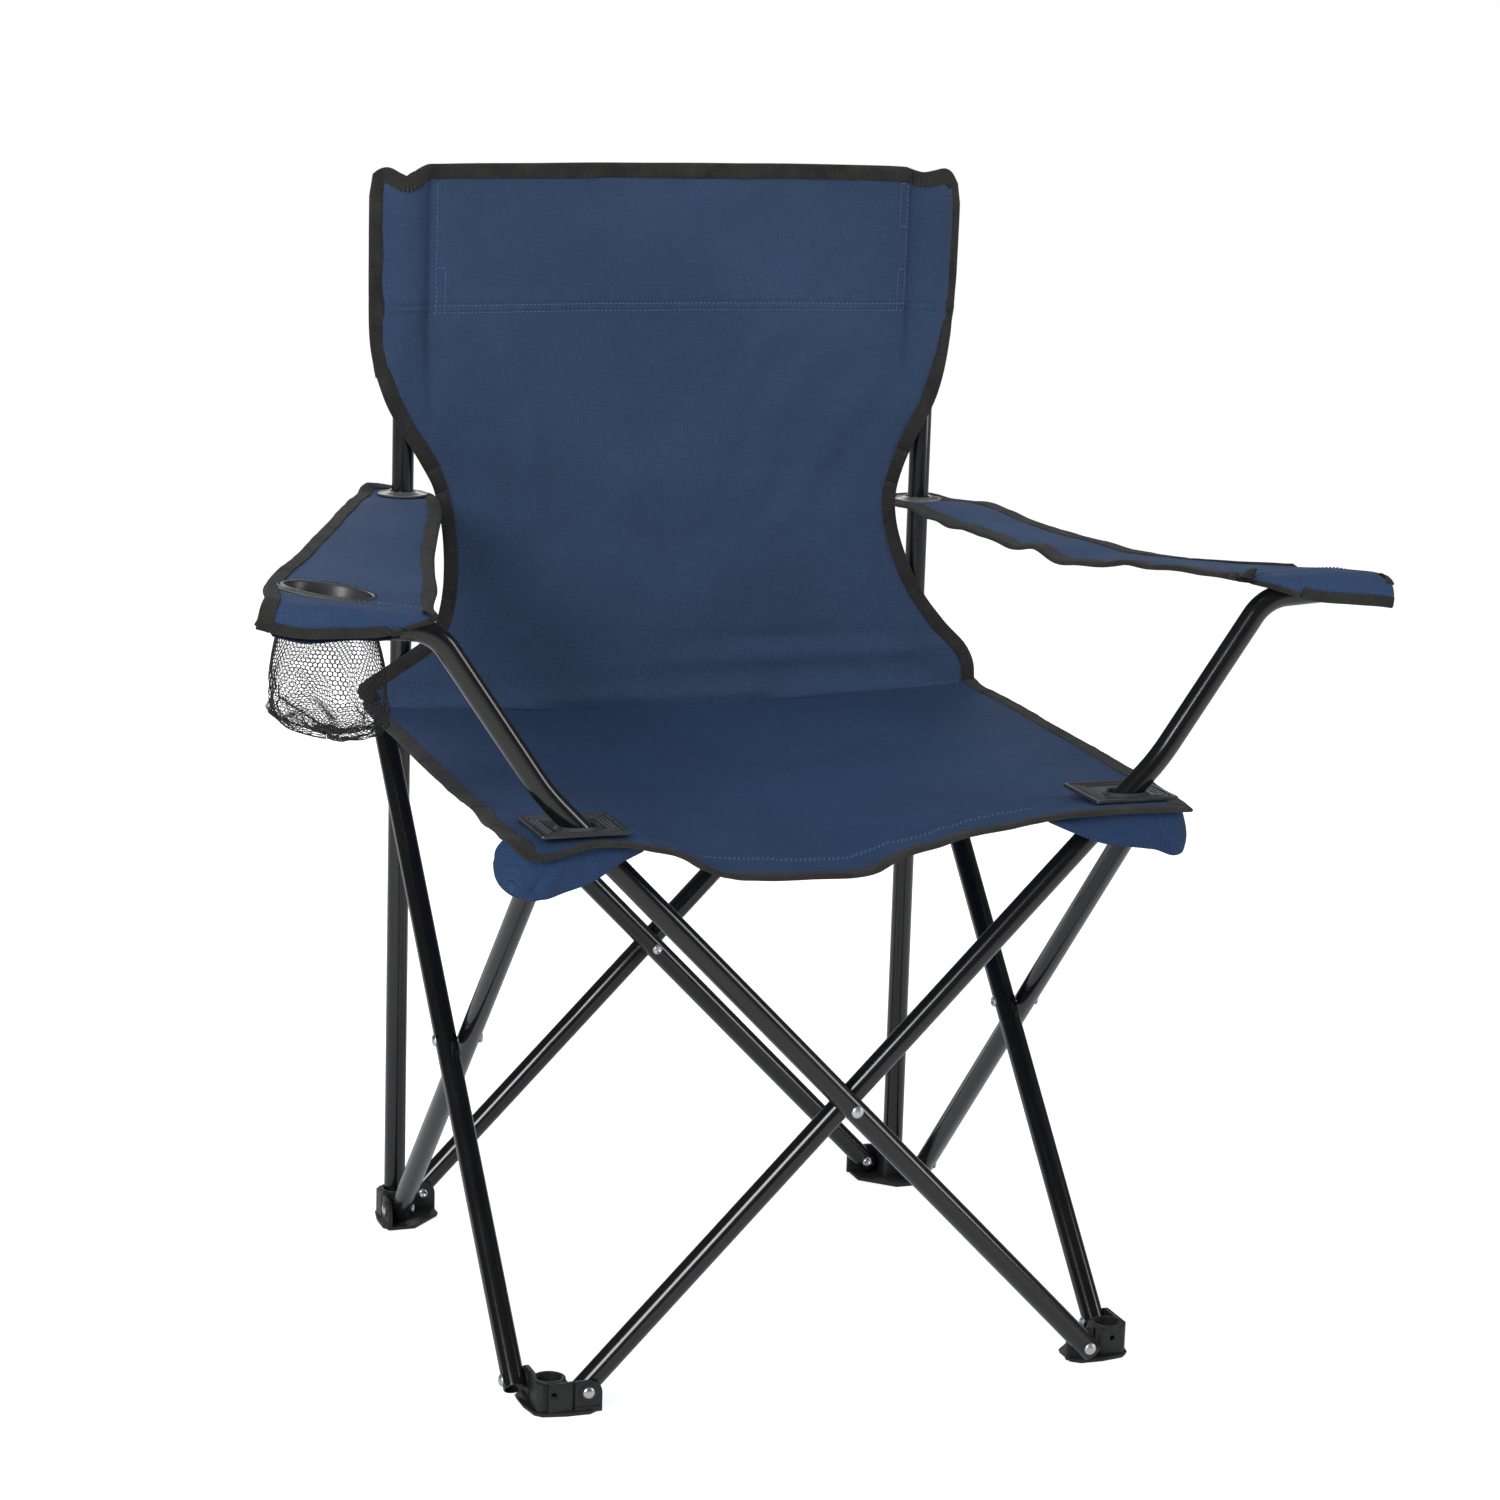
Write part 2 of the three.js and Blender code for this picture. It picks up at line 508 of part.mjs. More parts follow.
// ---- cup holder ---------------------------------------------------------------------------
const RIM = ARM_Z + ARM_CLOTH + 0.4;
add(
  "cup_ring",
  turned([[CUP_R - 0.5, 551], [CUP_R + 1.9, 551], [CUP_R + 1.9, RIM], [CUP_R + 6, RIM], [CUP_R + 6.3, RIM + 1.4], [CUP_R + 4.4, RIM + 3.2], [CUP_R + 0.8, RIM + 3.2], [CUP_R - 0.5, RIM + 1.8], [CUP_R - 0.5, 551]], 28, CUP_X, CUP_Y),
  "greyPlastic",
);
add(
  "cup_net",
  turned([[0, NET_BOTTOM], [20, NET_BOTTOM + 2], [32, NET_BOTTOM + 12], [35.8, NET_BOTTOM + 34], [35.8, 534], [34, 550.4], [31.8, 550.4], [33.6, 534], [33.6, NET_BOTTOM + 35], [30, NET_BOTTOM + 14], [19, NET_BOTTOM + 4.4], [0, NET_BOTTOM + 2.4]], 24, CUP_X, CUP_Y),
  "net",
);

// ---- origin: middle of the bounding box, on the ground ------------------------------------
whole.updateMatrixWorld(true);
const bounds = new THREE.Box3().setFromObject(whole, true);
const centre = bounds.getCenter(new THREE.Vector3());
whole.position.set(-centre.x, -centre.y, -bounds.min.z);
chair.updateMatrixWorld(true);

export default chair;
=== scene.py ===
"""Looks of a folding camp chair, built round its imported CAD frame. Lengths are millimetres until at()."""

import json
import math

import bmesh
import bpy
import numpy as np
from mathutils import Matrix, Vector, noise
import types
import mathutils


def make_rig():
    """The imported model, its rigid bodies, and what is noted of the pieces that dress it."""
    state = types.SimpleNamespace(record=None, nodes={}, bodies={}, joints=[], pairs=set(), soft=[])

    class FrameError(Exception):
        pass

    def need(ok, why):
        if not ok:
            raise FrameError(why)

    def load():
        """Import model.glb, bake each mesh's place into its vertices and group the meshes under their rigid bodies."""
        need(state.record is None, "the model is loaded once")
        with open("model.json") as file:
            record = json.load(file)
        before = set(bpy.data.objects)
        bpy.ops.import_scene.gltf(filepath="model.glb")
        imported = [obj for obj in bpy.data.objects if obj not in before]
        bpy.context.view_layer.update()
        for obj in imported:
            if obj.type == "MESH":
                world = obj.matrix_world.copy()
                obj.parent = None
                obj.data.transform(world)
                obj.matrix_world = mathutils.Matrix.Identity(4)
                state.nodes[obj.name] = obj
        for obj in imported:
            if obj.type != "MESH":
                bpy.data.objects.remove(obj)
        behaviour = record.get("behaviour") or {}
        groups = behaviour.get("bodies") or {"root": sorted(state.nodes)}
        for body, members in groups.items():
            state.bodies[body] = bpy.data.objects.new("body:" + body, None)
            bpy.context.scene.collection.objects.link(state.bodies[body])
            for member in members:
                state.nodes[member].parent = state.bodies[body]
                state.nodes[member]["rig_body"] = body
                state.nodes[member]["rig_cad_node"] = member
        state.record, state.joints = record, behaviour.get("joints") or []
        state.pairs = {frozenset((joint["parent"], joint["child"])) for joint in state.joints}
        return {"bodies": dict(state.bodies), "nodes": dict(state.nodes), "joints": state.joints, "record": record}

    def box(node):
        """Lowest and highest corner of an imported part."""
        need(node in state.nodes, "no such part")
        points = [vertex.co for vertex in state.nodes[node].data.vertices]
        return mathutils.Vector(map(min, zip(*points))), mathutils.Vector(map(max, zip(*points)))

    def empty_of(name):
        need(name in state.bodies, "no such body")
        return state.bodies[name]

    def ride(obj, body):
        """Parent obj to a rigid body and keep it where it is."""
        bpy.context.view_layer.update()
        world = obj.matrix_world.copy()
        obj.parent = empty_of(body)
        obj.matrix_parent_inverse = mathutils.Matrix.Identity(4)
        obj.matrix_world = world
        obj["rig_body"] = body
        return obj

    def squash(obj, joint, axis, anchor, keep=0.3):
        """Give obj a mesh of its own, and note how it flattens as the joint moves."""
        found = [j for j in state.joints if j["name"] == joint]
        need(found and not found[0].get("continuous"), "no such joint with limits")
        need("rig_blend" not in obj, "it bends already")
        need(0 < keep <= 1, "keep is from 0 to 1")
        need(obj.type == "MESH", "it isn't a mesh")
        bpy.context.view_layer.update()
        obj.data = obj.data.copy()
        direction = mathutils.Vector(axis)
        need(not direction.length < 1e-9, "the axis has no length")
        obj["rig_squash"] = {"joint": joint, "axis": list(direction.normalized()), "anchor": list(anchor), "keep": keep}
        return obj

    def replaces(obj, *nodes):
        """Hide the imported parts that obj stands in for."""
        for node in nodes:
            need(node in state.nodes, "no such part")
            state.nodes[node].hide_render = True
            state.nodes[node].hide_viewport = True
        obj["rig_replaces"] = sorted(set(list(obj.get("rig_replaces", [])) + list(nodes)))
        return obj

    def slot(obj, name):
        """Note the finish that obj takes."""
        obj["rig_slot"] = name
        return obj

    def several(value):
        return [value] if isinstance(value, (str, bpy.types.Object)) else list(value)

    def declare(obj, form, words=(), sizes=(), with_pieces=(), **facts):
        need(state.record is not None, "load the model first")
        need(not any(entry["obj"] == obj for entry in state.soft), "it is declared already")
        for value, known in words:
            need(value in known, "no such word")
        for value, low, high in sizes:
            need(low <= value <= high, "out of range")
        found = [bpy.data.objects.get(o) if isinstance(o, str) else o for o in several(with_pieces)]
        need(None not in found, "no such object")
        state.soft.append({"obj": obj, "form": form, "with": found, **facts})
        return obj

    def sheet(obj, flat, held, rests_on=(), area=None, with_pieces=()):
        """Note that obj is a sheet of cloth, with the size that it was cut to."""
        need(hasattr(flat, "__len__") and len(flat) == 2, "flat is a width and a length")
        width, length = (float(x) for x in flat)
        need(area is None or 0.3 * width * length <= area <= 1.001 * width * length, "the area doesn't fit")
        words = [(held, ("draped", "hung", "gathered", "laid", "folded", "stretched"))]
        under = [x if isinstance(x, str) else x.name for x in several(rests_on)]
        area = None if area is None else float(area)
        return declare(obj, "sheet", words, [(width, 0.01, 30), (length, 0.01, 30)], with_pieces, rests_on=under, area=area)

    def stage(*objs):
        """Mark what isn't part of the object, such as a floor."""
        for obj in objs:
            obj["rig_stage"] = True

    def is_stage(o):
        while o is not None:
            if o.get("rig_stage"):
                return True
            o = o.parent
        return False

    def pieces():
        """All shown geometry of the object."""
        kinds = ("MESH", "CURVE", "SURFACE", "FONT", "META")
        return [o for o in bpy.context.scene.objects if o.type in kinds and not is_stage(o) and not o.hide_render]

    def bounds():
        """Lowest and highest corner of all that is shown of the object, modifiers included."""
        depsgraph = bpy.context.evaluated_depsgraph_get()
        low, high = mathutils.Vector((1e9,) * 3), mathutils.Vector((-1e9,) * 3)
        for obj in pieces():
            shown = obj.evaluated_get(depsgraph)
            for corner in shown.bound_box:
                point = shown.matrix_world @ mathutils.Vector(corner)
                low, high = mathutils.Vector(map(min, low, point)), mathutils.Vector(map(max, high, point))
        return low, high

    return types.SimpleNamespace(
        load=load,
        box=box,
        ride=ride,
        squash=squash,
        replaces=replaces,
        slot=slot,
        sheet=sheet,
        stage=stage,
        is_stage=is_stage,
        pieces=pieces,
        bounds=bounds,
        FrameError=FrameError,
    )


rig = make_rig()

bl_info = {
    "name": "Folding camp chair",
    "version": (1, 0, 0),
    "blender": (4, 5, 0),
    "location": "View3D > Sidebar > Chair",
    "description": "Builds the cloth, tubes, mouldings and net of a folding camp chair on its frame",
    "category": "Object",
}

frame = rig.load()
CAD_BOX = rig.bounds()

# ---- sizes the pieces share ---------------------------------------------------------------
MM = 0.001
CORNER = 206.0  # chair centre to a socket or upright
LUG = 24.0  # socket centre to a pivot
PIVOT_Z = 15.0
TILT = math.radians(44.2)
TUBE_END = 7.0
IN_LAYER = 207.5  # distance of the inner tubes from the chair's centre plane
OUT_LAYER = 224.0
HALF = CORNER - LUG
SPAN = 2 * HALF / math.sin(TILT)
TOP_Z = PIVOT_Z + SPAN * math.cos(TILT)
ARM_LEGS = (  # length, start tilt, end tilt of a front tube past its bracket
    (45.0, 44.2, 44.2),
    (26.7, 44.2, 34.0),
    (104.6, 34.0, 34.0),
    (29.04, 34.0, 86.0),
    (75.0, 86.0, 86.0),
)
SEAT_Z = 404.6  # middle of the seat cloth at its corners
SEAT_FRONT, SEAT_BACK, SEAT_FOLD = -248.0, 195.0, 150.0
BACK_Y = 194.5
BACK_FOLDS = (484.0, 564.0)
BAND_Z = 697.0  # lower stitch line of the head band
RING = Vector((-355.0, -175.0, 557.5))
RING_LEAN = math.radians(8.0)
CLOTH_MAP = "cloth"
HEM_GAP, BAND_GAP = 4.5, 5.0  # between the two stitch rows of the seat's hem and of the head band
SEAT_CORNER = 26.0  # radius of the seat's front left corner
BACK_FOOT, BACK_SHOULDER, BACK_HEAD = 404.0, 755.0, 800.0  # heights the back is drawn between
BACK_SPLIT = 190.0  # the middle of the back ends here, and the sleeves start
ARM_SPLIT = {-1: -128.0, 1: -190.0}  # each armrest's stiff front part ends here, and its web starts
LIP_RUN = 26.0  # cloth that goes over the arm tube and down in front of it

low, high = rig.box("upright_left")
SHIFT_Y = (low.y + high.y) / 2 - CORNER * MM


def at(x, y, z):
    """A point of the chair's own millimetres as a point of the frame, in metres."""
    return Vector((x * MM, y * MM + SHIFT_Y, z * MM))


def ramp(x, stops):
    """Smooth curve through (x, value) stops."""
    if x <= stops[0][0]:
        return stops[0][1]
    for (x0, v0), (x1, v1) in zip(stops, stops[1:]):
        if x <= x1:
            t = (x - x0) / (x1 - x0)
            return v0 + (v1 - v0) * t * t * (3 - 2 * t)
    return stops[-1][1]


def curve(stops):
    """Natural-looking curve through (x, value) stops, with slopes taken from the neighbours."""
    xs = [s[0] for s in stops]
    vs = [s[1] for s in stops]
    slopes = []
    for i in range(len(xs)):
        a, b = max(0, i - 1), min(len(xs) - 1, i + 1)
        slopes.append((vs[b] - vs[a]) / (xs[b] - xs[a]))

    def value(x):
        if x <= xs[0]:
            return vs[0] + slopes[0] * (x - xs[0])
        if x >= xs[-1]:
            return vs[-1] + slopes[-1] * (x - xs[-1])
        i = max(k for k in range(len(xs) - 1) if xs[k] <= x)
        h = xs[i + 1] - xs[i]
        t = (x - xs[i]) / h
        return (
            vs[i] * (2 * t**3 - 3 * t**2 + 1)
            + slopes[i] * h * (t**3 - 2 * t**2 + t)
            + vs[i + 1] * (3 * t**2 - 2 * t**3)
            + slopes[i + 1] * h * (t**3 - t**2)
        )

    return value


def swell(x, middle, width):
    """Smooth bump of height 1."""
    return math.exp(-(((x - middle) / width) ** 2))


def wobble(x, y, z, scale):
    """Steady noise from -1 to 1 with features about scale millimetres wide."""
    return noise.noise(Vector((x / scale, y / scale, z / scale)))


# ---- mesh makers --------------------------------------------------------------------------
def new_object(name, verts, faces, materials, uvs=None, slots=None, normals=None):
    mesh = bpy.data.meshes.new(name)
    mesh.from_pydata([tuple(v) for v in verts], [], faces)
    for m in materials:
        mesh.materials.append(m)
    if slots is not None:
        mesh.polygons.foreach_set("material_index", slots)
    if uvs is not None:
        corners = np.zeros(len(mesh.loops), np.int32)
        mesh.loops.foreach_get("vertex_index", corners)
        layer = mesh.uv_layers.new(name=CLOTH_MAP)
        layer.data.foreach_set("uv", np.array(uvs, np.float32)[corners].ravel())
    mesh.shade_smooth()
    mesh.update()
    if normals is not None:
        mesh.normals_split_custom_set_from_vertices([tuple(n) for n in normals])
    obj = bpy.data.objects.new(name, mesh)
    bpy.context.scene.collection.objects.link(obj)
    return obj


def swept(name, path, sides_a, sides_b, rings, materials):
    """Sweeps closed rings of (a, b) offsets along a path with given side vectors at each point."""
    verts, uvs, faces = [], [], []
    count = len(rings[0])
    run = 0.0
    for i, (p, a, b, ring) in enumerate(zip(path, sides_a, sides_b, rings)):
        if i:
            run += (p - path[i - 1]).length
        across = 0.0
        for k, (u, v) in enumerate(ring):
            if k:
                across += math.dist(ring[k], ring[k - 1])
            verts.append(p + a * (u * MM) + b * (v * MM))
            uvs.append((across * MM, run))
    for i in range(len(path) - 1):
        for k in range(count):
            n = (k + 1) % count
            faces.append((i * count + k, i * count + n, (i + 1) * count + n, (i + 1) * count + k))
    faces.append(tuple(reversed(range(count))))
    faces.append(tuple((len(path) - 1) * count + k for k in range(count)))
    obj = new_object(name, verts, faces, materials, uvs)
    outward(obj)
    return obj


def outward(obj):
    """Turns a closed mesh's faces outwards."""
    bm = bmesh.new()
    bm.from_mesh(obj.data)
    bmesh.ops.recalc_face_normals(bm, faces=bm.faces)
    bm.to_mesh(obj.data)
    bm.free()


def round_tube(name, path, plane, radius, wall, material, sides=32):
    """A hollow tube along planar points, its open ends rounded over. plane is the bend plane's normal."""
    tangents = [
        (path[min(i + 1, len(path) - 1)] - path[max(i - 1, 0)]).normalized() for i in range(len(path))
    ]
    lip, depth = 0.45, 14.0
    stations = []
    first, last = tangents[0], tangents[-1]
    for step, r in ((depth, radius - wall), (0.3, radius - wall), (0.0, radius - wall + 0.3)):
        stations.append((path[0] + first * step * MM, first, r))
    stations.append((path[0], first, radius - lip))
    stations.append((path[0] + first * 0.35 * MM, first, radius - 0.08))
    stations.append((path[0] + first * 0.9 * MM, first, radius))
    stations += [(p, t, radius) for p, t in zip(path[1:-1], tangents[1:-1])]
    stations.append((path[-1] - last * 0.9 * MM, last, radius))
    stations.append((path[-1] - last * 0.35 * MM, last, radius - 0.08))
    stations.append((path[-1], last, radius - lip))
    for step, r in ((0.0, radius - wall + 0.3), (0.3, radius - wall), (depth, radius - wall)):
        stations.append((path[-1] - last * step * MM, last, r))
    turn = [2 * math.pi * k / sides for k in range(sides)]
    rings = [[(r * math.cos(t), r * math.sin(t)) for t in turn] for _, _, r in stations]
    obj = swept(
        name,
        [s[0] for s in stations],
        [plane] * len(stations),
        [s[1].cross(plane) for s in stations],
        rings,
        [material],
    )
    return obj


def turned(name, profile, matrix, material, sides=48):
    """A turned part from (radius, height) pairs, closed on itself where it doesn't meet the axis."""
    verts, faces, rows = [], [], []
    for r, h in profile:
        if r < 1e-6:
            rows.append([len(verts)])
            verts.append(matrix @ Vector((0, 0, h * MM)))
        else:
            rows.append(list(range(len(verts), len(verts) + sides)))
            for k in range(sides):
                t = 2 * math.pi * k / sides
                verts.append(matrix @ Vector((r * math.cos(t) * MM, r * math.sin(t) * MM, h * MM)))
    pairs = list(zip(rows, rows[1:]))
    if len(rows[0]) > 1 and len(rows[-1]) > 1:
        pairs.append((rows[-1], rows[0]))
    for a, b in pairs:
        for k in range(sides):
            n = (k + 1) % sides
            if len(a) == 1 and len(b) == 1:
                continue
            if len(a) == 1:
                faces.append((a[0], b[k], b[n]))
            elif len(b) == 1:
                faces.append((a[k], a[n], b[0]))
            else:
                faces.append((a[k], a[n], b[n], b[k]))
    obj = new_object(name, verts, faces, [material])
    outward(obj)
    obj.data.set_sharp_from_angle(angle=math.radians(50))
    return obj


def rounded_prism(points, z0, z1, edge=0.7, foot=None):
    """A prism over a polygon with all its edges rounded; foot gives a smaller bottom polygon."""
    bm = bmesh.new()
    bottom = [bm.verts.new((x, y, z0)) for x, y in (foot or points)]
    top = [bm.verts.new((x, y, z1)) for x, y in points]
    n = len(points)
    bm.faces.new(list(reversed(bottom)))
    bm.faces.new(top)
    for k in range(n):
        bm.faces.new((bottom[k], bottom[(k + 1) % n], top[(k + 1) % n], top[k]))
    bmesh.ops.recalc_face_normals(bm, faces=bm.faces)
    if edge:
        bmesh.ops.bevel(
            bm, geom=list(bm.edges), offset=edge, segments=2, profile=0.5, affect="EDGES", clamp_overlap=True
        )
    return bm


def rounded_bar(axis, r, a, b, p, q, edge=0.5, sides=40):
    """A round bar along x, y or z from a to b, centred at (p, q) on the other two, its rims rounded."""
    bm = bmesh.new()
    rows = []
    steps = [
        (r - edge, a), (r - edge * 0.3, a + edge * 0.3), (r, a + edge), (r, b - edge),
        (r - edge * 0.3, b - edge * 0.3), (r - edge, b)
    ]
    for rr, h in steps:
        row = []
        for k in range(sides):
            t = 2 * math.pi * k / sides
            c, s = rr * math.cos(t), rr * math.sin(t)
            spot = {"x": (h, p + c, q + s), "y": (p + c, h, q + s), "z": (p + c, q + s, h)}[axis]
            row.append(bm.verts.new(spot))
        rows.append(row)
    for lo, hi in zip(rows, rows[1:]):
        for k in range(sides):
            bm.faces.new((lo[k], lo[(k + 1) % sides], hi[(k + 1) % sides], hi[k]))
    bm.faces.new(rows[0])
    bm.faces.new(rows[-1])
    bmesh.ops.recalc_face_normals(bm, faces=bm.faces)
    return bm


def combined(name, adds, cuts, matrix, material, sharp=38):
    """Joins and cuts solids into one moulding, then places it."""
    temps = []
    for k, bm in enumerate(adds + cuts):
        mesh = bpy.data.meshes.new(f"{name}_part{k}")
        bm.to_mesh(mesh)
        bm.free()
        o = bpy.data.objects.new(mesh.name, mesh)
        bpy.context.scene.collection.objects.link(o)
        temps.append(o)
    for k, o in enumerate(temps[1:]):
        m = temps[0].modifiers.new(f"join{k}", "BOOLEAN")
        m.operation = "UNION" if k + 1 < len(adds) else "DIFFERENCE"
        m.solver = "EXACT"
        m.object = o
    dg = bpy.context.evaluated_depsgraph_get()
    mesh = bpy.data.meshes.new_from_object(temps[0].evaluated_get(dg))
    for o in temps:
        bpy.data.objects.remove(o)
    mesh.name = name
    mesh.transform(matrix)
    if matrix.to_3x3().determinant() < 0:
        mesh.flip_normals()
    mesh.materials.clear()
    mesh.materials.append(material)
    mesh.shade_smooth()
    mesh.set_sharp_from_angle(angle=math.radians(sharp))
    obj = bpy.data.objects.new(name, mesh)
    bpy.context.scene.collection.objects.link(obj)
    return obj


def grid_of(f, us, vs):
    """Points and normals of a surface f(u, v), which gives millimetres, over a grid."""
    e = 0.4
    points = np.zeros((len(us), len(vs), 3))
    normals = np.zeros((len(us), len(vs), 3))
    du = (us[-1] - us[0]) / 400
    for i, u in enumerate(us):
        for j, v in enumerate(vs):
            points[i, j] = f(u, v)
            a = np.subtract(f(u + du, v), f(u - du, v))
            b = np.subtract(f(u, v + e), f(u, v - e))
            n = np.cross(a, b)
            normals[i, j] = n / max(np.linalg.norm(n), 1e-12)
    return points, normals


def cloth_sheet(name, f, us, vs, lay, material, thick=1.6, flip=False, hole=None, facing=None):
    """A sheet of cloth with two faces. lay(point) gives its flat coordinates and facing(point) its normal."""
    if facing:
        points = np.array([[f(u, v) for v in vs] for u in us], float)
        normals = np.array([[facing(p) for p in row] for row in points], float)
    else:
        points, normals = grid_of(f, us, vs)
        if flip:
            normals = -normals
    ni, nj = len(us), len(vs)
    gone = np.zeros((ni - 1, nj - 1), bool)
    for x0, x1, cy, r in hole or ():
        mid = (points[:-1, :-1] + points[1:, :-1] + points[:-1, 1:] + points[1:, 1:]) / 4
        gone |= np.hypot(mid[..., 0] - np.clip(mid[..., 0], x0, x1), mid[..., 1] - cy) < r
        kept_near = np.zeros((ni, nj), bool)
        gone_near = np.zeros((ni, nj), bool)
        for di in (0, 1):
            for dj in (0, 1):
                kept_near[di : ni - 1 + di, dj : nj - 1 + dj] |= ~gone
                gone_near[di : ni - 1 + di, dj : nj - 1 + dj] |= gone
        for i, j in zip(*np.where(kept_near & gone_near)):
            middle = np.array((np.clip(points[i, j, 0], x0, x1), cy))
            d = points[i, j, :2] - middle
            if np.linalg.norm(d) < r * 1.6:
                points[i, j, :2] = middle + d / np.linalg.norm(d) * r
    verts, uvs, turned_to = [], [], []
    for side in (1, -1):
        for i in range(ni):
            for j in range(nj):
                p = points[i, j] + normals[i, j] * (side * thick / 2)
                verts.append(at(*p))
                uvs.append([c * MM for c in lay(points[i, j])])
                turned_to.append(normals[i, j] * side)
    faces = []
    back = ni * nj
    solid = [[not gone[i, j] for j in range(nj - 1)] for i in range(ni - 1)]

    def vertex(i, j):
        return i * nj + j

    for i in range(ni - 1):
        for j in range(nj - 1):
            if not solid[i][j]:
                continue
            a, b, c, d = vertex(i, j), vertex(i + 1, j), vertex(i + 1, j + 1), vertex(i, j + 1)
            quad = (a, b, c, d) if not flip else (d, c, b, a)
            faces.append(quad)
            faces.append(tuple(back + k for k in reversed(quad)))
            for (p, q), (oi, oj) in (
                ((a, b), (i, j - 1)), ((b, c), (i + 1, j)), ((c, d), (i, j + 1)), ((d, a), (i - 1, j))
            ):
                inside = 0 <= oi < ni - 1 and 0 <= oj < nj - 1 and solid[oi][oj]
                if not inside:
                    rim = (q, p, back + p, back + q)
                    faces.append(rim if not flip else tuple(reversed(rim)))
    used = sorted({k for face in faces for k in face})
    if len(used) < len(verts):
        renamed = {k: n for n, k in enumerate(used)}
        faces = [tuple(renamed[k] for k in face) for face in faces]
        verts = [verts[k] for k in used]
        uvs = [uvs[k] for k in used]
        turned_to = [turned_to[k] for k in used]
    return new_object(name, verts, faces, [material], uvs, normals=turned_to)


TAPE_SECTION = (
    (-9.4, 1.0), (-9.2, 1.55), (-8.4, 1.75), (-6.0, 1.8), (-3.0, 2.0), (-0.6, 2.05), (1.0, 1.7), (1.9, 0.9),
    (2.15, 0.0), (1.9, -0.9), (1.0, -1.7), (-0.6, -2.05), (-3.0, -2.0), (-6.0, -1.8), (-8.4, -1.75),
    (-9.2, -1.55), (-9.4, -1.0),
)


def tape(name, path, normals, side, material, width=1.0, seed=0.0):
    """Edge binding folded round a cloth edge. path and normals are millimetre points along the edge."""
    points = [np.array(p, float) for p in path]
    count = len(points)
    places, outs, ups, rings = [], [], [], []
    for i, p in enumerate(points):
        n = np.array(normals[i], float)
        before = p - points[i - 1] if i else points[1] - p
        after = points[i + 1] - p if i + 1 < count else before
        o1 = np.cross(before / np.linalg.norm(before), n)
        o2 = np.cross(after / np.linalg.norm(after), n)
        o1, o2 = o1 / np.linalg.norm(o1), o2 / np.linalg.norm(o2)
        o = o1 + o2
        o = o / max(np.linalg.norm(o), 1e-9)
        stretch = min(1.5, 1 / max(0.2, float(o @ o1)))
        shift = 0.4 * wobble(p[0] + seed, p[1], p[2], 17)
        grow = 1 + 0.08 * wobble(p[0], p[1] + seed, p[2] + 90, 23)
        places.append(at(*(p + n * shift)))
        outs.append(Vector(o * side * stretch))
        ups.append(Vector(n))
        rings.append([
            (u * width * grow if u < 0 else u, v * (1 + 0.15 * wobble(p[0] + v, p[1] - v, p[2], 9)))
            for u, v in TAPE_SECTION
        ])
    return swept(name, places, outs, ups, rings, [material])


def stitches(name, path, normals, material, pitch=3.4, length=2.5, lift=1.05, radius=0.4):
    """A row of sewn stitches along millimetre points."""
    verts, faces = [], []
    points = [np.array(p, float) for p in path]
    runs = [0.0]
    for a, b in zip(points, points[1:]):
        runs.append(runs[-1] + float(np.linalg.norm(b - a)))

    def place(s):
        k = min(len(points) - 2, max(i for i in range(len(points) - 1) if runs[i] <= s + 1e-9))
        t = (s - runs[k]) / max(runs[k + 1] - runs[k], 1e-9)
        n = np.array(normals[k], float) * (1 - t) + np.array(normals[k + 1], float) * t
        d = points[k + 1] - points[k]
        return points[k] + d * t, n / np.linalg.norm(n), d / np.linalg.norm(d)

    s = 0.4
    while s + length < runs[-1]:
        base = len(verts)
        for part, (f, r, up) in enumerate(
            ((0, 0.35, -0.35), (0.22, 1, 0.12), (0.5, 1.1, 0.22), (0.78, 1, 0.12), (1, 0.35, -0.35))
        ):
            p, n, d = place(s + f * length)
            b = np.cross(d, n)
            for k in range(6):
                t = math.pi * k / 3
                verts.append(
                    at(*(p + n * (lift + up + radius * r * math.sin(t)) + b * radius * r * math.cos(t)))
                )
            if part:
                for k in range(6):
                    m = (k + 1) % 6
                    lo, hi = base + (part - 1) * 6, base + part * 6
                    faces.append((lo + k, lo + m, hi + m, hi + k))
        faces.append(tuple(base + k for k in reversed(range(6))))
        faces.append(tuple(base + 24 + k for k in range(6)))
        s += pitch
    obj = new_object(name, verts, faces, [material])
    outward(obj)
    return obj


def steps(a, b, size):
    n = max(1, round(abs(b - a) / size))
    return [a + (b - a) * k / n for k in range(n + 1)]


def lines_in(values, extra, near=1.4):
    """Adds grid lines beside the sewn lines in extra, so that their grooves have somewhere to go."""
    lo, hi = values[0], values[-1]
    more = [e + d for e in extra for d in (-near, 0.0, near) if lo < e + d < hi]
    kept = [v for v in values if all(abs(v - m) > 0.9 for m in more) or v in (lo, hi)]
    return sorted(kept + more)


# ---- materials ----------------------------------------------------------------------------
def feed(tree, socket, value):
    """Links a socket to value, or sets it where value is a plain one."""
    if isinstance(value, bpy.types.NodeSocket):
        tree.links.new(value, socket)
    else:
        socket.default_value = value


def maths(tree, operation, *values):
    n = tree.nodes.new("ShaderNodeMath")
    n.operation = operation
    for socket, value in zip(n.inputs, values):
        feed(tree, socket, value)
    return n.outputs[0]


def times(tree, a, b):
    return maths(tree, "MULTIPLY", a, b)


def plus(tree, a, b):
    return maths(tree, "ADD", a, b)


def fold_wave(tree, value):
    """Waves that never go below 0, one for every half turn of value."""
    return maths(tree, "ABSOLUTE", maths(tree, "SINE", value))


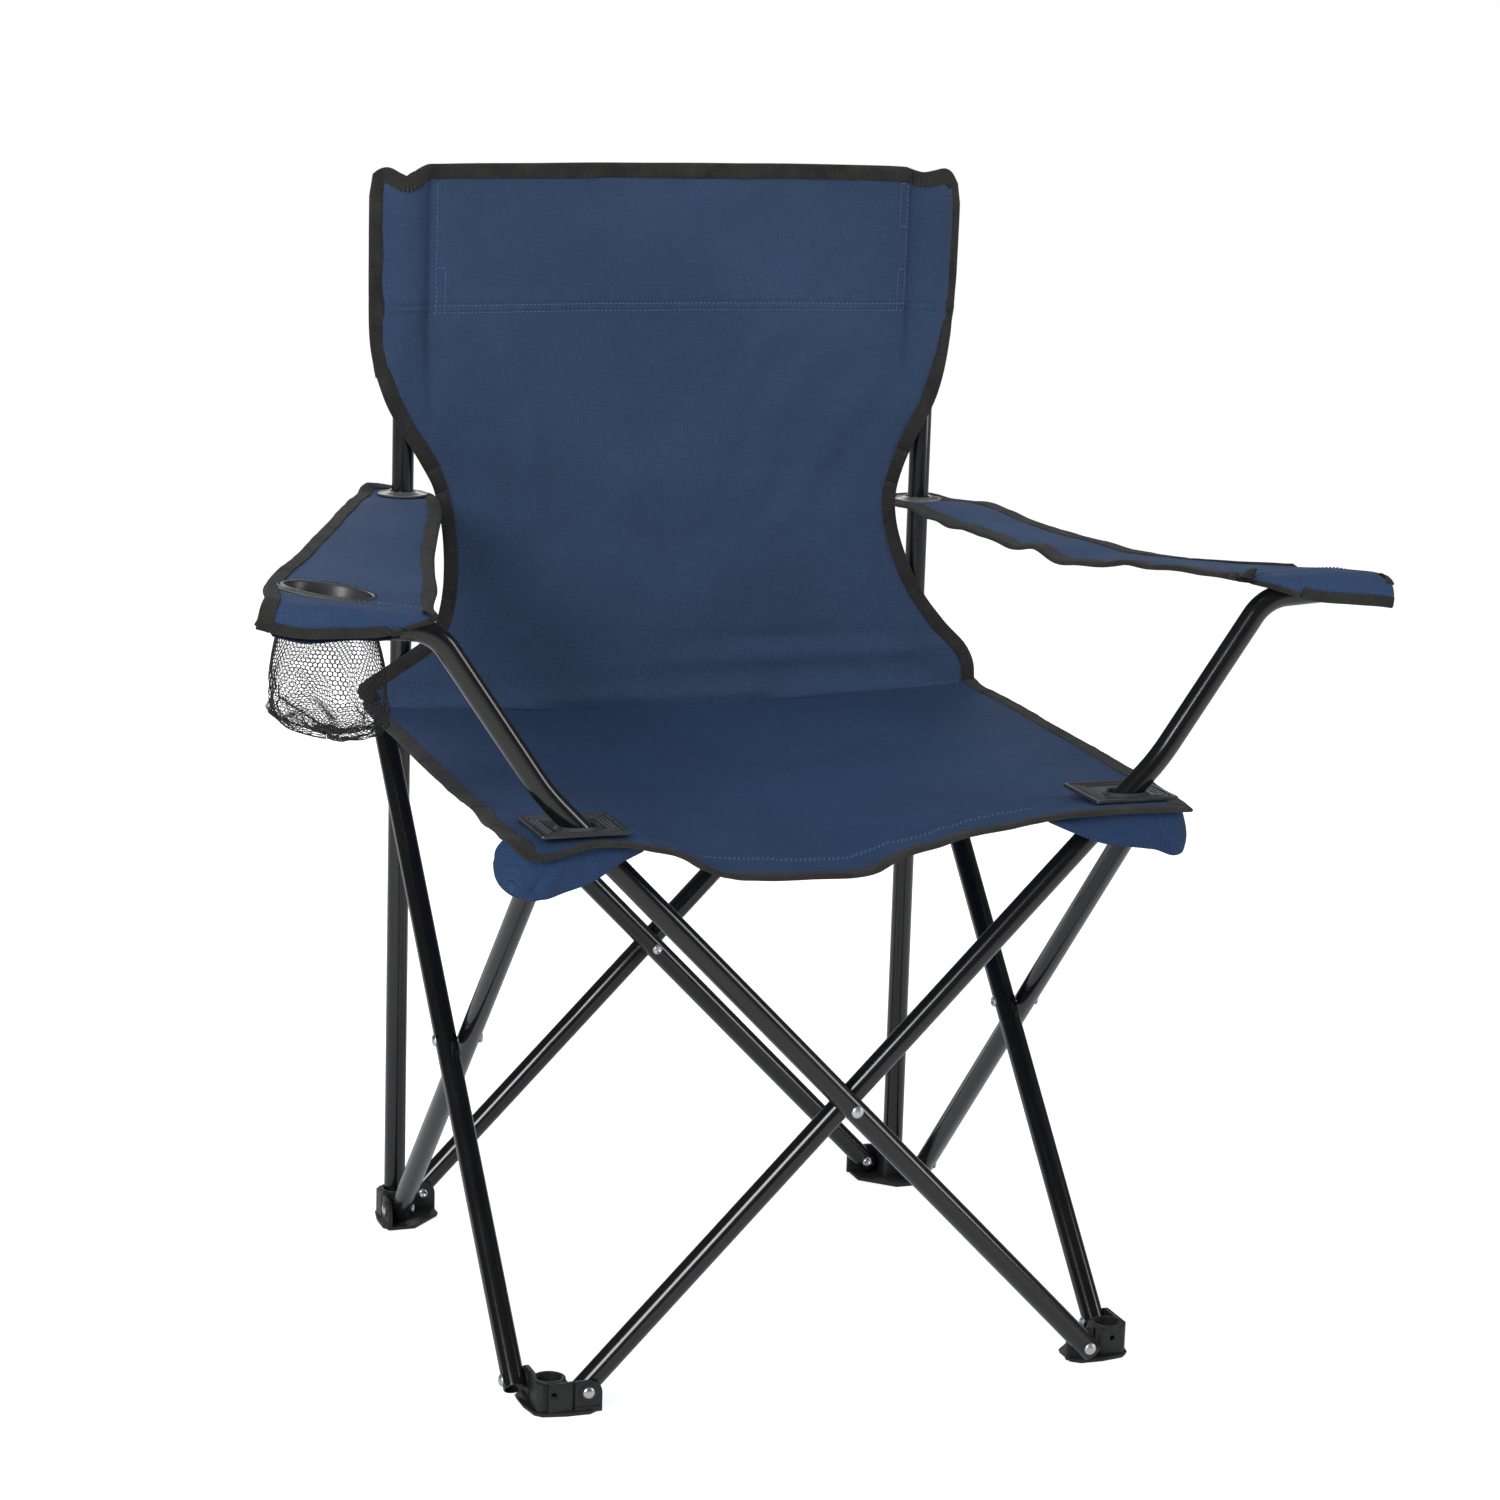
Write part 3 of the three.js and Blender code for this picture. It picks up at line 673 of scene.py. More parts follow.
def stretched(tree, vector, factors):
    n = tree.nodes.new("ShaderNodeVectorMath")
    n.operation = "MULTIPLY"
    feed(tree, n.inputs[0], vector)
    feed(tree, n.inputs[1], factors)
    return n.outputs[0]


def clouds(tree, vector, scale, detail, roughness):
    n = tree.nodes.new("ShaderNodeTexNoise")
    for key, value in (("Vector", vector), ("Scale", scale), ("Detail", detail), ("Roughness", roughness)):
        feed(tree, n.inputs[key], value)
    return n.outputs[0]


def mix_colour(tree, share, a, b):
    n = tree.nodes.new("ShaderNodeMix")
    n.data_type = "RGBA"
    for key, value in (("Factor", share), ("A", a), ("B", b)):
        feed(tree, next(s for s in n.inputs if s.name == key and s.enabled), value)
    return next(s for s in n.outputs if s.enabled)


def spread(tree, value, low_in, high_in, low_out, high_out):
    """Turns the range low_in..high_in into low_out..high_out."""
    n = tree.nodes.new("ShaderNodeMapRange")
    keys = ("Value", "From Min", "From Max", "To Min", "To Max")
    for key, v in zip(keys, (value, low_in, high_in, low_out, high_out)):
        feed(tree, n.inputs[key], v)
    return n.outputs["Result"]


def effect(name, inputs, outputs):
    """An empty node group with named inputs (name, kind, default) and outputs (name, kind)."""
    tree = bpy.data.node_groups.new(name, "ShaderNodeTree")
    for label, kind, default in inputs:
        s = tree.interface.new_socket(name=label, in_out="INPUT", socket_type=f"NodeSocket{kind}")
        if default is not None:
            s.default_value = default
    for label, kind in outputs:
        tree.interface.new_socket(name=label, in_out="OUTPUT", socket_type=f"NodeSocket{kind}")
    return tree, tree.nodes.new("NodeGroupInput").outputs, tree.nodes.new("NodeGroupOutput").inputs


def xyz(tree, vector):
    n = tree.nodes.new("ShaderNodeSeparateXYZ")
    feed(tree, n.inputs["Vector"], vector)
    return n.outputs


def make_weave():
    """Plain weave: crossing threads, slubs along both, and slow changes of colour. The gaps between the threads are
    painted darker towards black, a painted shade.
    """
    tree, take, give = effect(
        "plain_weave",
        [
            ("Vector", "Vector", None),
            ("Colour", "Color", (0.02, 0.04, 0.1, 1)),
            ("Light Colour", "Color", (0.03, 0.06, 0.13, 1)),
            ("Threads", "Float", 1300.0),
            ("Slub", "Float", 0.5),
            ("Patch Scale", "Float", 9.0),
        ],
        [("Colour", "Color"), ("Roughness", "Float"), ("Height", "Float")],
    )
    place, waves = xyz(tree, take["Vector"]), []
    for axis, other in (("X", "Y"), ("Y", "X")):
        turn = times(tree, times(tree, place[axis], take["Threads"]), math.pi)
        cross = times(tree, times(tree, place[other], take["Threads"]), math.pi)
        # every second thread goes over where its neighbour goes under
        odd = times(tree, maths(tree, "FLOOR", maths(tree, "DIVIDE", turn, math.pi)), math.pi / 2)
        over = fold_wave(tree, plus(tree, times(tree, cross, 0.5), odd))
        waves.append(times(tree, fold_wave(tree, turn), over))
    weave = maths(tree, "MAXIMUM", waves[0], waves[1])
    slubs = [
        clouds(tree, stretched(tree, take["Vector"], shape), 6.0, 2.0, 0.6)
        for shape in ((260.0, 14.0, 1.0), (14.0, 260.0, 1.0))
    ]
    slub = times(tree, maths(tree, "SUBTRACT", plus(tree, *slubs), 1.0), take["Slub"])
    patch = clouds(tree, take["Vector"], take["Patch Scale"], 4.0, 0.55)
    share = plus(tree, spread(tree, patch, 0.3, 0.7, 0.1, 0.7), slub)
    tint = mix_colour(tree, share, take["Colour"], take["Light Colour"])
    # painted shade: the gaps between the threads are darkened up to 62% towards black
    gap_shaded = mix_colour(tree, spread(tree, weave, 0.0, 0.9, 0.62, 0.0), tint, (0.0, 0.0, 0.0, 1.0))
    tree.links.new(gap_shaded, give["Colour"])
    tree.links.new(spread(tree, plus(tree, patch, slub), 0.2, 0.9, 0.88, 0.7), give["Roughness"])
    tree.links.new(plus(tree, weave, times(tree, slub, 0.8)), give["Height"])
    return tree


def make_ribs():
    """Ribbed tape: fine ribs across its length, their crests painted lighter as a painted highlight that is patchy with
    fuzz and wear.
    """
    tree, take, give = effect(
        "ribbed_tape",
        [
            ("Vector", "Vector", None),
            ("Colour", "Color", (0.02, 0.02, 0.02, 1)),
            ("Light Colour", "Color", (0.06, 0.06, 0.06, 1)),
            ("Ribs", "Float", 900.0),
        ],
        [("Colour", "Color"), ("Roughness", "Float"), ("Height", "Float")],
    )
    place = xyz(tree, take["Vector"])
    rib = fold_wave(tree, times(tree, times(tree, place["Y"], take["Ribs"]), math.pi))
    yarn = fold_wave(tree, plus(tree, times(tree, place["X"], 2900.0), times(tree, place["Y"], 1450.0)))
    fuzz = clouds(tree, take["Vector"], 650.0, 3.0, 0.7)
    wear = clouds(tree, take["Vector"], 38.0, 3.0, 0.6)
    relief = times(tree, rib, plus(tree, 0.55, times(tree, yarn, 0.45)))
    # the rib crests are mixed towards Light Colour: a painted highlight on the crests, patchy with the fuzz and wear
    # noise
    share = times(tree, relief, plus(tree, fuzz, spread(tree, wear, 0.35, 0.75, -0.1, 0.6)))
    tree.links.new(mix_colour(tree, share, take["Colour"], take["Light Colour"]), give["Colour"])
    tree.links.new(spread(tree, fuzz, 0.2, 0.8, 0.75, 0.95), give["Roughness"])
    tree.links.new(plus(tree, relief, times(tree, fuzz, 0.25)), give["Height"])
    return tree


def make_surface():
    """Grain and dust for hard parts: fine relief, dust in patches and short scuffs."""
    tree, take, give = effect(
        "grain_and_scuffs",
        [
            ("Vector", "Vector", None),
            ("Colour", "Color", (0.02, 0.02, 0.02, 1)),
            ("Dust Colour", "Color", (0.2, 0.2, 0.19, 1)),
            ("Grain Scale", "Float", 900.0),
            ("Dust", "Float", 0.05),
            ("Scuffs", "Float", 0.1),
            ("Roughness", "Float", 0.3),
        ],
        [("Colour", "Color"), ("Roughness", "Float"), ("Height", "Float")],
    )
    grain = clouds(tree, take["Vector"], take["Grain Scale"], 2.0, 0.5)
    cloud = clouds(tree, take["Vector"], 28.0, 5.0, 0.65)
    scratch = clouds(tree, stretched(tree, take["Vector"], (900.0, 900.0, 90.0)), 1.0, 2.0, 0.5)
    marks = times(tree, spread(tree, scratch, 0.66, 0.74, 0.0, 1.0), spread(tree, cloud, 0.5, 0.7, 0.0, 1.0))
    marks = times(tree, marks, take["Scuffs"])
    dust = times(tree, spread(tree, cloud, 0.4, 0.75, 0.2, 1.0), take["Dust"])
    tint = mix_colour(tree, plus(tree, dust, marks), take["Colour"], take["Dust Colour"])
    rough = plus(tree, times(tree, dust, 1.6), times(tree, marks, 2.0))
    tree.links.new(tint, give["Colour"])
    tree.links.new(plus(tree, take["Roughness"], rough), give["Roughness"])
    tree.links.new(maths(tree, "SUBTRACT", grain, times(tree, marks, 1.5)), give["Height"])
    return tree


EFFECT_MAKERS = {"weave": make_weave, "ribs": make_ribs, "surface": make_surface}
EFFECTS = {}
MATERIALS = {}


def effect_group(name):
    if name not in EFFECTS:
        EFFECTS[name] = EFFECT_MAKERS[name]()
    return EFFECTS[name]


def finish_material(name, group, values, bump, shader, flat_map=False):
    """A material from one effect group: values go to the group's inputs and shader to the Principled sockets."""
    if name in MATERIALS:
        return MATERIALS[name]
    m = bpy.data.materials.new(name)
    m.use_nodes = True
    tree = m.node_tree
    principled = next(n for n in tree.nodes if n.type == "BSDF_PRINCIPLED")
    g = tree.nodes.new("ShaderNodeGroup")
    g.node_tree = effect_group(group)
    if flat_map:
        where = tree.nodes.new("ShaderNodeUVMap")
        where.uv_map = CLOTH_MAP
        tree.links.new(where.outputs["UV"], g.inputs["Vector"])
    else:
        where = tree.nodes.new("ShaderNodeTexCoord")
        tree.links.new(where.outputs["Object"], g.inputs["Vector"])
    for key, value in values.items():
        g.inputs[key].default_value = value
    tree.links.new(g.outputs["Colour"], principled.inputs["Base Color"])
    tree.links.new(g.outputs["Roughness"], principled.inputs["Roughness"])
    relief = tree.nodes.new("ShaderNodeBump")
    relief.inputs["Strength"].default_value = bump[0]
    relief.inputs["Distance"].default_value = bump[1]
    tree.links.new(g.outputs["Height"], relief.inputs["Height"])
    tree.links.new(relief.outputs["Normal"], principled.inputs["Normal"])
    for key, value in shader.items():
        principled.inputs[key].default_value = value
    m.diffuse_color = values["Colour"]
    MATERIALS[name] = m
    return m


def colour(value, share=1.0):
    return (value[0] * share, value[1] * share, value[2] * share, 1.0)


def cloth_material(kind):
    # each blue carries painted light (back, armrests) and painted shade (seat) for its place on the chair
    base = getattr(bpy.context.scene.chair_colours, f"{kind}_cloth")
    return finish_material(
        f"blue_{kind}_cloth",
        "weave",
        {
            "Colour": colour(base, 0.9),
            "Light Colour": colour(base, 1.32),
            "Threads": 1.0 / bpy.context.scene.chair_sizes.thread_pitch,
            "Slub": 1.25,
            "Patch Scale": 8.0,
        },
        (0.55, 0.0004),
        {
            "Sheen Weight": 0.05,
            "Sheen Roughness": 0.4,
            "Sheen Tint": (0.5, 0.65, 1.0, 1.0),
            "Specular IOR Level": 0.22,
        },
        flat_map=True,
    )


def tape_material():
    tape_colour = bpy.context.scene.chair_colours.tape
    # Light Colour, five times the tape's colour, is the painted highlight on the rib crests
    return finish_material(
        "black_ribbed_tape",
        "ribs",
        {"Colour": colour(tape_colour, 0.45), "Light Colour": colour(tape_colour, 5.0), "Ribs": 800.0},
        (0.9, 0.0005),
        {"Sheen Weight": 0.08, "Sheen Roughness": 0.5, "Specular IOR Level": 0.2},
        flat_map=True,
    )


# Finishes that share the grain and scuffs effect, by the name of their colour. Dust is a colour of its
# own, or a share of the finish's colour. Relief is the bump's strength and distance.
PLAIN_FINISHES = {
    "thread": {
        "material": "blue_thread",
        "dust": 1.5,
        "values": (2500.0, 0.3, 0.0, 0.6),
        "relief": (0.3, 0.0002),
        "shader": {"Sheen Weight": 0.2},
    },
    "net": {
        "material": "black_net_thread",
        "dust": 2.5,
        "values": (2500.0, 0.35, 0.0, 0.62),
        "relief": (0.3, 0.0002),
        "shader": {"Sheen Weight": 0.1},
    },
    "enamel": {
        "material": "black_enamel",
        "dust": (0.09, 0.09, 0.09),
        "values": (160.0, 0.03, 0.2, 0.17),
        "relief": (0.004, 0.00005),
        "shader": {"Coat Weight": 0.4, "Coat Roughness": 0.05, "Specular IOR Level": 0.45},
    },
    "zinc": {
        "material": "bright_zinc",
        "dust": (0.3, 0.31, 0.32),
        "values": (1500.0, 0.25, 0.5, 0.22),
        "relief": (0.2, 0.0002),
        "shader": {"Metallic": 1.0},
    },
    "plastic": {
        "material": "black_moulding",
        "dust": (0.12, 0.12, 0.115),
        "values": (1400.0, 0.12, 0.3, 0.4),
        "relief": (0.25, 0.0002),
        "shader": {"Specular IOR Level": 0.45},
    },
    "plate": {
        "material": "grey_black_moulding",
        "dust": (0.25, 0.26, 0.26),
        "values": (1200.0, 0.14, 0.35, 0.3),
        "relief": (0.2, 0.0002),
        "shader": {"Specular IOR Level": 0.5, "Coat Weight": 0.15, "Coat Roughness": 0.25},
    },
    "washer": {
        "material": "smoke_washer",
        "dust": (0.5, 0.5, 0.48),
        "values": (900.0, 0.25, 0.3, 0.2),
        "relief": (0.2, 0.0002),
        "shader": {"Specular IOR Level": 0.6, "Coat Weight": 0.4, "Coat Roughness": 0.12},
    },
}


def plain_material(kind):
    base, finish = getattr(bpy.context.scene.chair_colours, kind), PLAIN_FINISHES[kind]
    dust = finish["dust"]
    values = dict(zip(("Grain Scale", "Dust", "Scuffs", "Roughness"), finish["values"]))
    values["Colour"] = colour(base)
    values["Dust Colour"] = colour(base, dust) if isinstance(dust, float) else colour(dust)
    return finish_material(finish["material"], "surface", values, finish["relief"], finish["shader"])


# ---- settings -----------------------------------------------------------------------------
HUE = {"subtype": "COLOR", "size": 3, "min": 0.0, "max": 1.0}


class ChairColours(bpy.types.PropertyGroup):
    """Colours of the chair's finishes, as linear light. The three cloth blues are one cloth's blue with painted light
    and painted shade in them.
    """

    # The back, seat and armrest blues are the same cloth, set to three brightnesses for how the light falls. The back's
    # lighter blue is painted light. The seat's darker, more saturated blue is painted shade for the weak light from
    # above and the back's shadow on it. The armrests' lighter blue is painted light. The corner pockets take the seat's
    # blue, and the flap under the left armrest takes the armrests' blue.
    back_cloth: bpy.props.FloatVectorProperty(
        name="Back cloth", description="Blue of the backrest cloth", default=(0.047, 0.084, 0.17), **HUE
    )
    seat_cloth: bpy.props.FloatVectorProperty(
        name="Seat cloth", description="Blue of the seat cloth", default=(0.028, 0.065, 0.158), **HUE
    )
    arm_cloth: bpy.props.FloatVectorProperty(
        name="Armrest cloth", description="Blue of the armrests", default=(0.04, 0.081, 0.182), **HUE
    )
    thread: bpy.props.FloatVectorProperty(
        name="Thread", description="Sewing thread", default=(0.07, 0.118, 0.225), **HUE
    )
    tape: bpy.props.FloatVectorProperty(
        name="Edge tape", description="Ribbed tape round the cloth edges", default=(0.014, 0.014, 0.013), **HUE
    )
    net: bpy.props.FloatVectorProperty(
        name="Net", description="Thread of the cup holder's net bag", default=(0.012, 0.012, 0.013), **HUE
    )
    enamel: bpy.props.FloatVectorProperty(
        name="Tube enamel", description="Gloss enamel on the steel tubes", default=(0.006, 0.006, 0.0065), **HUE
    )
    zinc: bpy.props.FloatVectorProperty(
        name="Zinc", description="Plating of the rivets and pins", default=(0.72, 0.76, 0.78), **HUE
    )
    plastic: bpy.props.FloatVectorProperty(
        name="Mouldings", description="Feet, sliders and brackets", default=(0.012, 0.0125, 0.013), **HUE
    )
    plate: bpy.props.FloatVectorProperty(
        name="Plates and ring", description="Seat corner plates and cup ring", default=(0.02, 0.0215, 0.023), **HUE
    )
    washer: bpy.props.FloatVectorProperty(
        name="Washers", description="Washers round the uprights", default=(0.075, 0.075, 0.07), **HUE
    )


class ChairSizes(bpy.types.PropertyGroup):
    """Sizes that may be changed without touching the frame."""

    tube_radius: bpy.props.FloatProperty(
        name="Tube radius", description="Outer radius of every steel tube", default=0.008, unit="LENGTH"
    )
    tube_wall: bpy.props.FloatProperty(
        name="Tube wall", description="Wall thickness of the tubes", default=0.001, unit="LENGTH"
    )
    cloth_thickness: bpy.props.FloatProperty(
        name="Cloth thickness", description="Seat and back cloth, two plies", default=0.0016, unit="LENGTH"
    )
    thread_pitch: bpy.props.FloatProperty(
        name="Thread pitch", description="Distance between threads of the weave", default=0.0009, unit="LENGTH"
    )
    net_thread: bpy.props.FloatProperty(
        name="Net thread", description="Thickness of the net's thread", default=0.00062, unit="LENGTH"
    )
    net_cell: bpy.props.FloatProperty(
        name="Net cell", description="Width of one opening of the net", default=0.0031, unit="LENGTH"
    )


# ---- seat ---------------------------------------------------------------------------------
front_line = curve([
    (-252, 391), (-222, 395), (-199, 399.5), (-180, 399.5), (-157, 396.5), (-132, 391), (-119, 384),
    (-104, 378), (-60, 371.5), (-22, 370), (0, 372.5), (13, 379), (27, 385), (44, 389), (61, 394.5),
    (86, 399), (114, 402.5), (150, 403.5), (203, 404.5), (240, 404),
])
left_side = curve([(-248, -251), (-150, -248), (0, -243.5), (128, -239), (195, -236)])
seat_right = curve([(-248, 228), (-200, 233), (-130, 239.5), (0, 246), (128, 252), (195, 254)])
seat_drop = curve([(0, 0.0), (0.12, 0.45), (0.4, 1.05), (0.75, 0.8), (1, 0.42)])
FRONT_HEM, SEAM_Y = -203.0, 188.0
HEM_ROWS = (FRONT_HEM, FRONT_HEM - HEM_GAP)


def seat_left(y):
    """The left side, with its front corner rounded off."""
    into = max(0.0, SEAT_FRONT + SEAT_CORNER - y)
    return left_side(y) + SEAT_CORNER - math.sqrt(max(0.0, SEAT_CORNER**2 - into**2))


def seat_height(x, y):
    t = (y - SEAT_FRONT) / (SEAT_BACK - SEAT_FRONT)
    middle = math.exp(-((max(t, 0) / 0.3) ** 1.2))
    corner = math.exp(-(((y - SEAT_FRONT) / 11) ** 2))
    share = ramp(abs(x), [(138, 0.0), (172, 1.0)])
    z = SEAT_Z - (SEAT_Z - front_line(x)) * (middle * (1 - share) + corner * share)
    z -= 20 * max(0.0, 1 - (x / 236) ** 2) ** 1.15 * seat_drop(min(max(t, 0), 1))
    # soft folds that run from the front corners towards the middle, and slow unevenness
    for sx, strength in ((-1, 1.0), (1, 0.7)):
        dx, dy = x - sx * 196, y + 218
        far = math.hypot(dx, dy)
        turn = math.atan2(dy, -sx * dx)
        fade = ramp(far, [(34, 0.0), (80, 1.0), (190, 0.0)])
        z += strength * 1.7 * fade * math.sin(turn * 9 + 0.8) * ramp(abs(y - FRONT_HEM), [(3, 0.5), (20, 1.0)])
    inner = ramp(abs(x), [(150, 1.0), (225, 0.35)])
    z += 3.4 * wobble(x, y, 0, 95) * inner + 0.7 * wobble(x, y, 7, 34) * inner
    # sewn hem: a step, the two stitch grooves and their puckers
    z += 0.5 * ramp(y, [(FRONT_HEM - 2, 1.0), (FRONT_HEM, 0.0)])
    z -= 0.75 * (swell(y, FRONT_HEM, 1.2) + swell(y, FRONT_HEM - HEM_GAP, 1.2))
    z += 1.1 * wobble(x, y * 0.3, 3, 7) * swell(y, FRONT_HEM - 2, 8)
    # puckers along the rear seam, and the rise into the back
    z += 0.9 * wobble(x, y * 0.4, 11, 10) * swell(y, SEAM_Y, 9)
    z += 2.2 * ramp(y, [(176, 0.0), (195, 1.0)])
    return z


def seat_point(u, v):
    a, b = seat_left(v), seat_right(v)
    x = a + (b - a) * u
    return (x, v, seat_height(x, v))


def seat_facing(p):
    e = 0.6
    n = np.array((
        -(seat_height(p[0] + e, p[1]) - seat_height(p[0] - e, p[1])) / (2 * e),
        -(seat_height(p[0], p[1] + e) - seat_height(p[0], p[1] - e)) / (2 * e),
        1.0,
    ))
    return n / np.linalg.norm(n)


def edge_path(point, facing, where):
    points = [point(u, v) for u, v in where]
    return points, [facing(p) for p in points]


def joined(name, objects):
    """Joins several new meshes with the same material into one piece."""
    bm = bmesh.new()
    for o in objects:
        bm.from_mesh(o.data)
    mesh = objects[0].data.copy()
    bm.to_mesh(mesh)
    bm.free()
    mesh.name = name
    for o in objects:
        bpy.data.objects.remove(o)
    obj = bpy.data.objects.new(name, mesh)
    bpy.context.scene.collection.objects.link(obj)
    return obj


SEAT_SQUASH = {"joint": "fold", "axis": (1, 0, 0), "anchor": tuple(at(-206, 0, 400)), "keep": 0.319}
BACK_SQUASH = {"joint": "fold", "axis": (1, 0, 0), "anchor": tuple(at(-190, 200, 600)), "keep": 0.2618}


SEAT_RESTS = ["bracket_front_left", "slider_rear_left"]


def soft(obj, body, slot, squash=None):
    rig.ride(obj, body)
    if squash:
        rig.squash(obj, **squash)
    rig.slot(obj, slot)
    return obj


def make_seat():
    """Four strips of one sagging sheet, so that it can fold, with its edge tape and stitches."""
    blue, black, thread = cloth_material("seat"), tape_material(), plain_material("thread")
    thick = bpy.context.scene.chair_sizes.cloth_thickness / MM
    us = [k / 136 for k in range(137)]
    holes = [(-200, -186, -OUT_LAYER, 10.5), (186, 200, -IN_LAYER, 10.5)]
    strips = [
        ("seat_front", "bracket_left", SEAT_FRONT, -SEAT_FOLD),
        ("seat_fold_front", "seat_fold_front", -SEAT_FOLD, 0.0),
        ("seat_fold_rear", "seat_fold_rear", 0.0, SEAT_FOLD),
        ("seat_rear", "slider_left", SEAT_FOLD, SEAT_BACK),
    ]
    for node, body, y0, y1 in strips:
        size = 3.2 if node == "seat_front" else 5.5
        vs = lines_in(steps(y0, y1, size), HEM_ROWS if node == "seat_front" else ())
        hole = holes if node == "seat_front" else None
        lay = lambda p: (p[0], p[1])
        cloth = cloth_sheet(
            f"{node}_cloth", seat_point, us, vs, lay, blue, thick, hole=hole, facing=seat_facing
        )
        extras = []
        if node == "seat_front":
            turn = SEAT_FRONT + SEAT_CORNER
            rim = [(0.0, y) for y in reversed(steps(turn, y1, 6))]
            rim += [(0.0, turn - SEAT_CORNER * math.sin(math.radians(a))) for a in range(12, 85, 12)]
            rim += [(u, y0) for u in steps(0, 1, 0.008)[1:-1]]
            rim += [(1.0, y) for y in steps(y0, y1, 6)]
            path, normals = edge_path(seat_point, seat_facing, rim)
            extras.append(tape("seat_front_tape", path, normals, 1, black, seed=2.0))
            rows = []
            for k, (y, u0, u1) in enumerate(zip(HEM_ROWS, (0.175, 0.185), (0.81, 0.80))):
                path, normals = edge_path(seat_point, seat_facing, [(u, y) for u in steps(u0, u1, 0.006)])
                rows.append(stitches(f"row{k}", path, normals, thread))
            extras.append(joined("seat_front_stitches", rows))
        else:
            sides = []
            for u, side in ((0.0, 1), (1.0, -1)):
                path, normals = edge_path(seat_point, seat_facing, [(u, y) for y in steps(y0, y1, 6)])
                sides.append(tape(f"side{u}", path, normals, -side, black, seed=5.0 + u))
            extras.append(joined(f"{node}_tape", sides))
        if node == "seat_rear":
            path, normals = edge_path(seat_point, seat_facing, [(u, SEAM_Y) for u in steps(0.03, 0.97, 0.006)])
            extras.append(stitches("seat_rear_stitches", path, normals, thread))
        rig.replaces(soft(cloth, body, "cloth", SEAT_SQUASH), node)
        for e in extras:
            soft(e, body, "cloth", SEAT_SQUASH)
        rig.sheet(cloth, flat=(0.495, (y1 - y0) * MM), held="stretched", rests_on=SEAT_RESTS, with_pieces=extras)


# ---- back ---------------------------------------------------------------------------------
back_left = curve([
    (404, -229), (411, -238), (420, -238.5), (432, -221), (443, -203), (458, -184.5), (489, -175.5),
    (529, -175.5), (566, -183), (589, -195), (611, -209), (634, -221.5), (663, -229.5), (700, -231.5),
    (745, -232), (800, -232),
])
back_right = curve([
    (404, 252), (421, 251), (435, 244), (453, 226), (478, 206), (507, 191), (533, 182.5), (556, 181),
    (580, 187), (604, 198), (628, 210), (666, 221), (697, 226), (750, 228), (800, 228),
])
back_top = curve([
    (-236, 784), (-231, 795), (-222, 800.5), (-213, 796.5), (-207, 794.5), (-199, 800), (-189, 803),
    (-120, 804), (0, 804.5), (140, 804.5), (181, 803.5), (190, 801), (196, 799.5), (204, 801), (214, 802.5),
    (222, 797.5), (229, 786),
])
sleeve_form = curve([
    (160, 0.0), (176, 1.5), (184, 4.5), (188.5, 7.5), (191, 7.0), (195, 3.4), (200, 1.0), (206, 0.4),
    (212, 1.0), (219, 4.6), (226, 8.6), (236, 11),
])


def back_depth(x, z):
    bow = 15 * max(0.0, 1 - (x / 186) ** 2) * min(1.0, max(0.0, (z - BACK_FOOT) / 120))
    sleeved = ramp(z, [(628, 0.0), (690, 1.0)])
    y = BACK_Y + bow + sleeve_form(min(max(abs(x), 160), 236)) * sleeved
    # the crease beside each sleeve fades out below it
    y += 2.6 * swell(abs(x), 187, 5) * ramp(z, [(590, 0.0), (650, 1.0), (690, 0.0)])
    # folds that fall away from the right sleeve, and fainter ones on the left and under the band
    q = (x - 150) * 0.87 - (z - 620) * 0.45
    share = ramp(z, [(505, 0.0), (570, 1.0), (655, 0.8), (692, 0.0)])
    share *= ramp(x, [(30, 0.0), (95, 1.0), (172, 0.7), (192, 0.0)]) * (0.55 + 0.6 * wobble(x, 2, z, 60))
    y += 1.9 * share * math.sin(q / 6.4 + 2.2 * wobble(x, 8, z, 85))
    q = (x + 150) * 0.94 + (z - 620) * 0.33
    share = ramp(z, [(520, 0.0), (590, 1.0), (660, 0.7), (692, 0.0)])
    share *= ramp(-x, [(60, 0.0), (110, 1.0), (168, 0.6), (188, 0.0)])
    y += 1.4 * share * math.sin(q / 6.5 + 2.0 * wobble(x, 12, z, 80))
    share = ramp(z, [(560, 0.0), (640, 0.5), (698, 0.6), (730, 1.0)]) * ramp(abs(x), [(130, 1.0), (178, 0.2)])
    y += 1.3 * share * math.sin(x / 15.5 + 1.2 * math.sin(x / 53) + 0.4)
    inner = ramp(abs(x), [(150, 1.0), (192, 0.25)])
    y += 2.2 * wobble(x, 5, z * 0.8, 105) * inner + 0.5 * wobble(x, 9, z, 30) * inner
    # head band: a second ply, its stitch grooves and puckers
    y -= 0.5 * ramp(z, [(BAND_Z - 1.5, 0.0), (BAND_Z, 1.0)])
    y += 0.6 * (swell(z, BAND_Z, 1.2) + swell(z, BAND_Z + BAND_GAP, 1.2))
    y += 1.1 * wobble(x, z * 0.3, 21, 7) * swell(z, BAND_Z + 2, 8)
    # rolled lower part above the seam, where the cloth turns into the seat
    y -= 8.0 * math.exp(-max(0.0, z - BACK_FOOT) / 9) * ramp(abs(x), [(205, 1.0), (232, 0.35)])
    y -= 2.4 * swell(z, 430 + 0.02 * x, 8) * ramp(x, [(-60, 0.2), (60, 1.0), (200, 1.0), (236, 0.0)])
    y += 1.6 * swell(z, 446, 7) * ramp(x, [(-20, 0.0), (80, 1.0), (225, 0.4)])
    return y


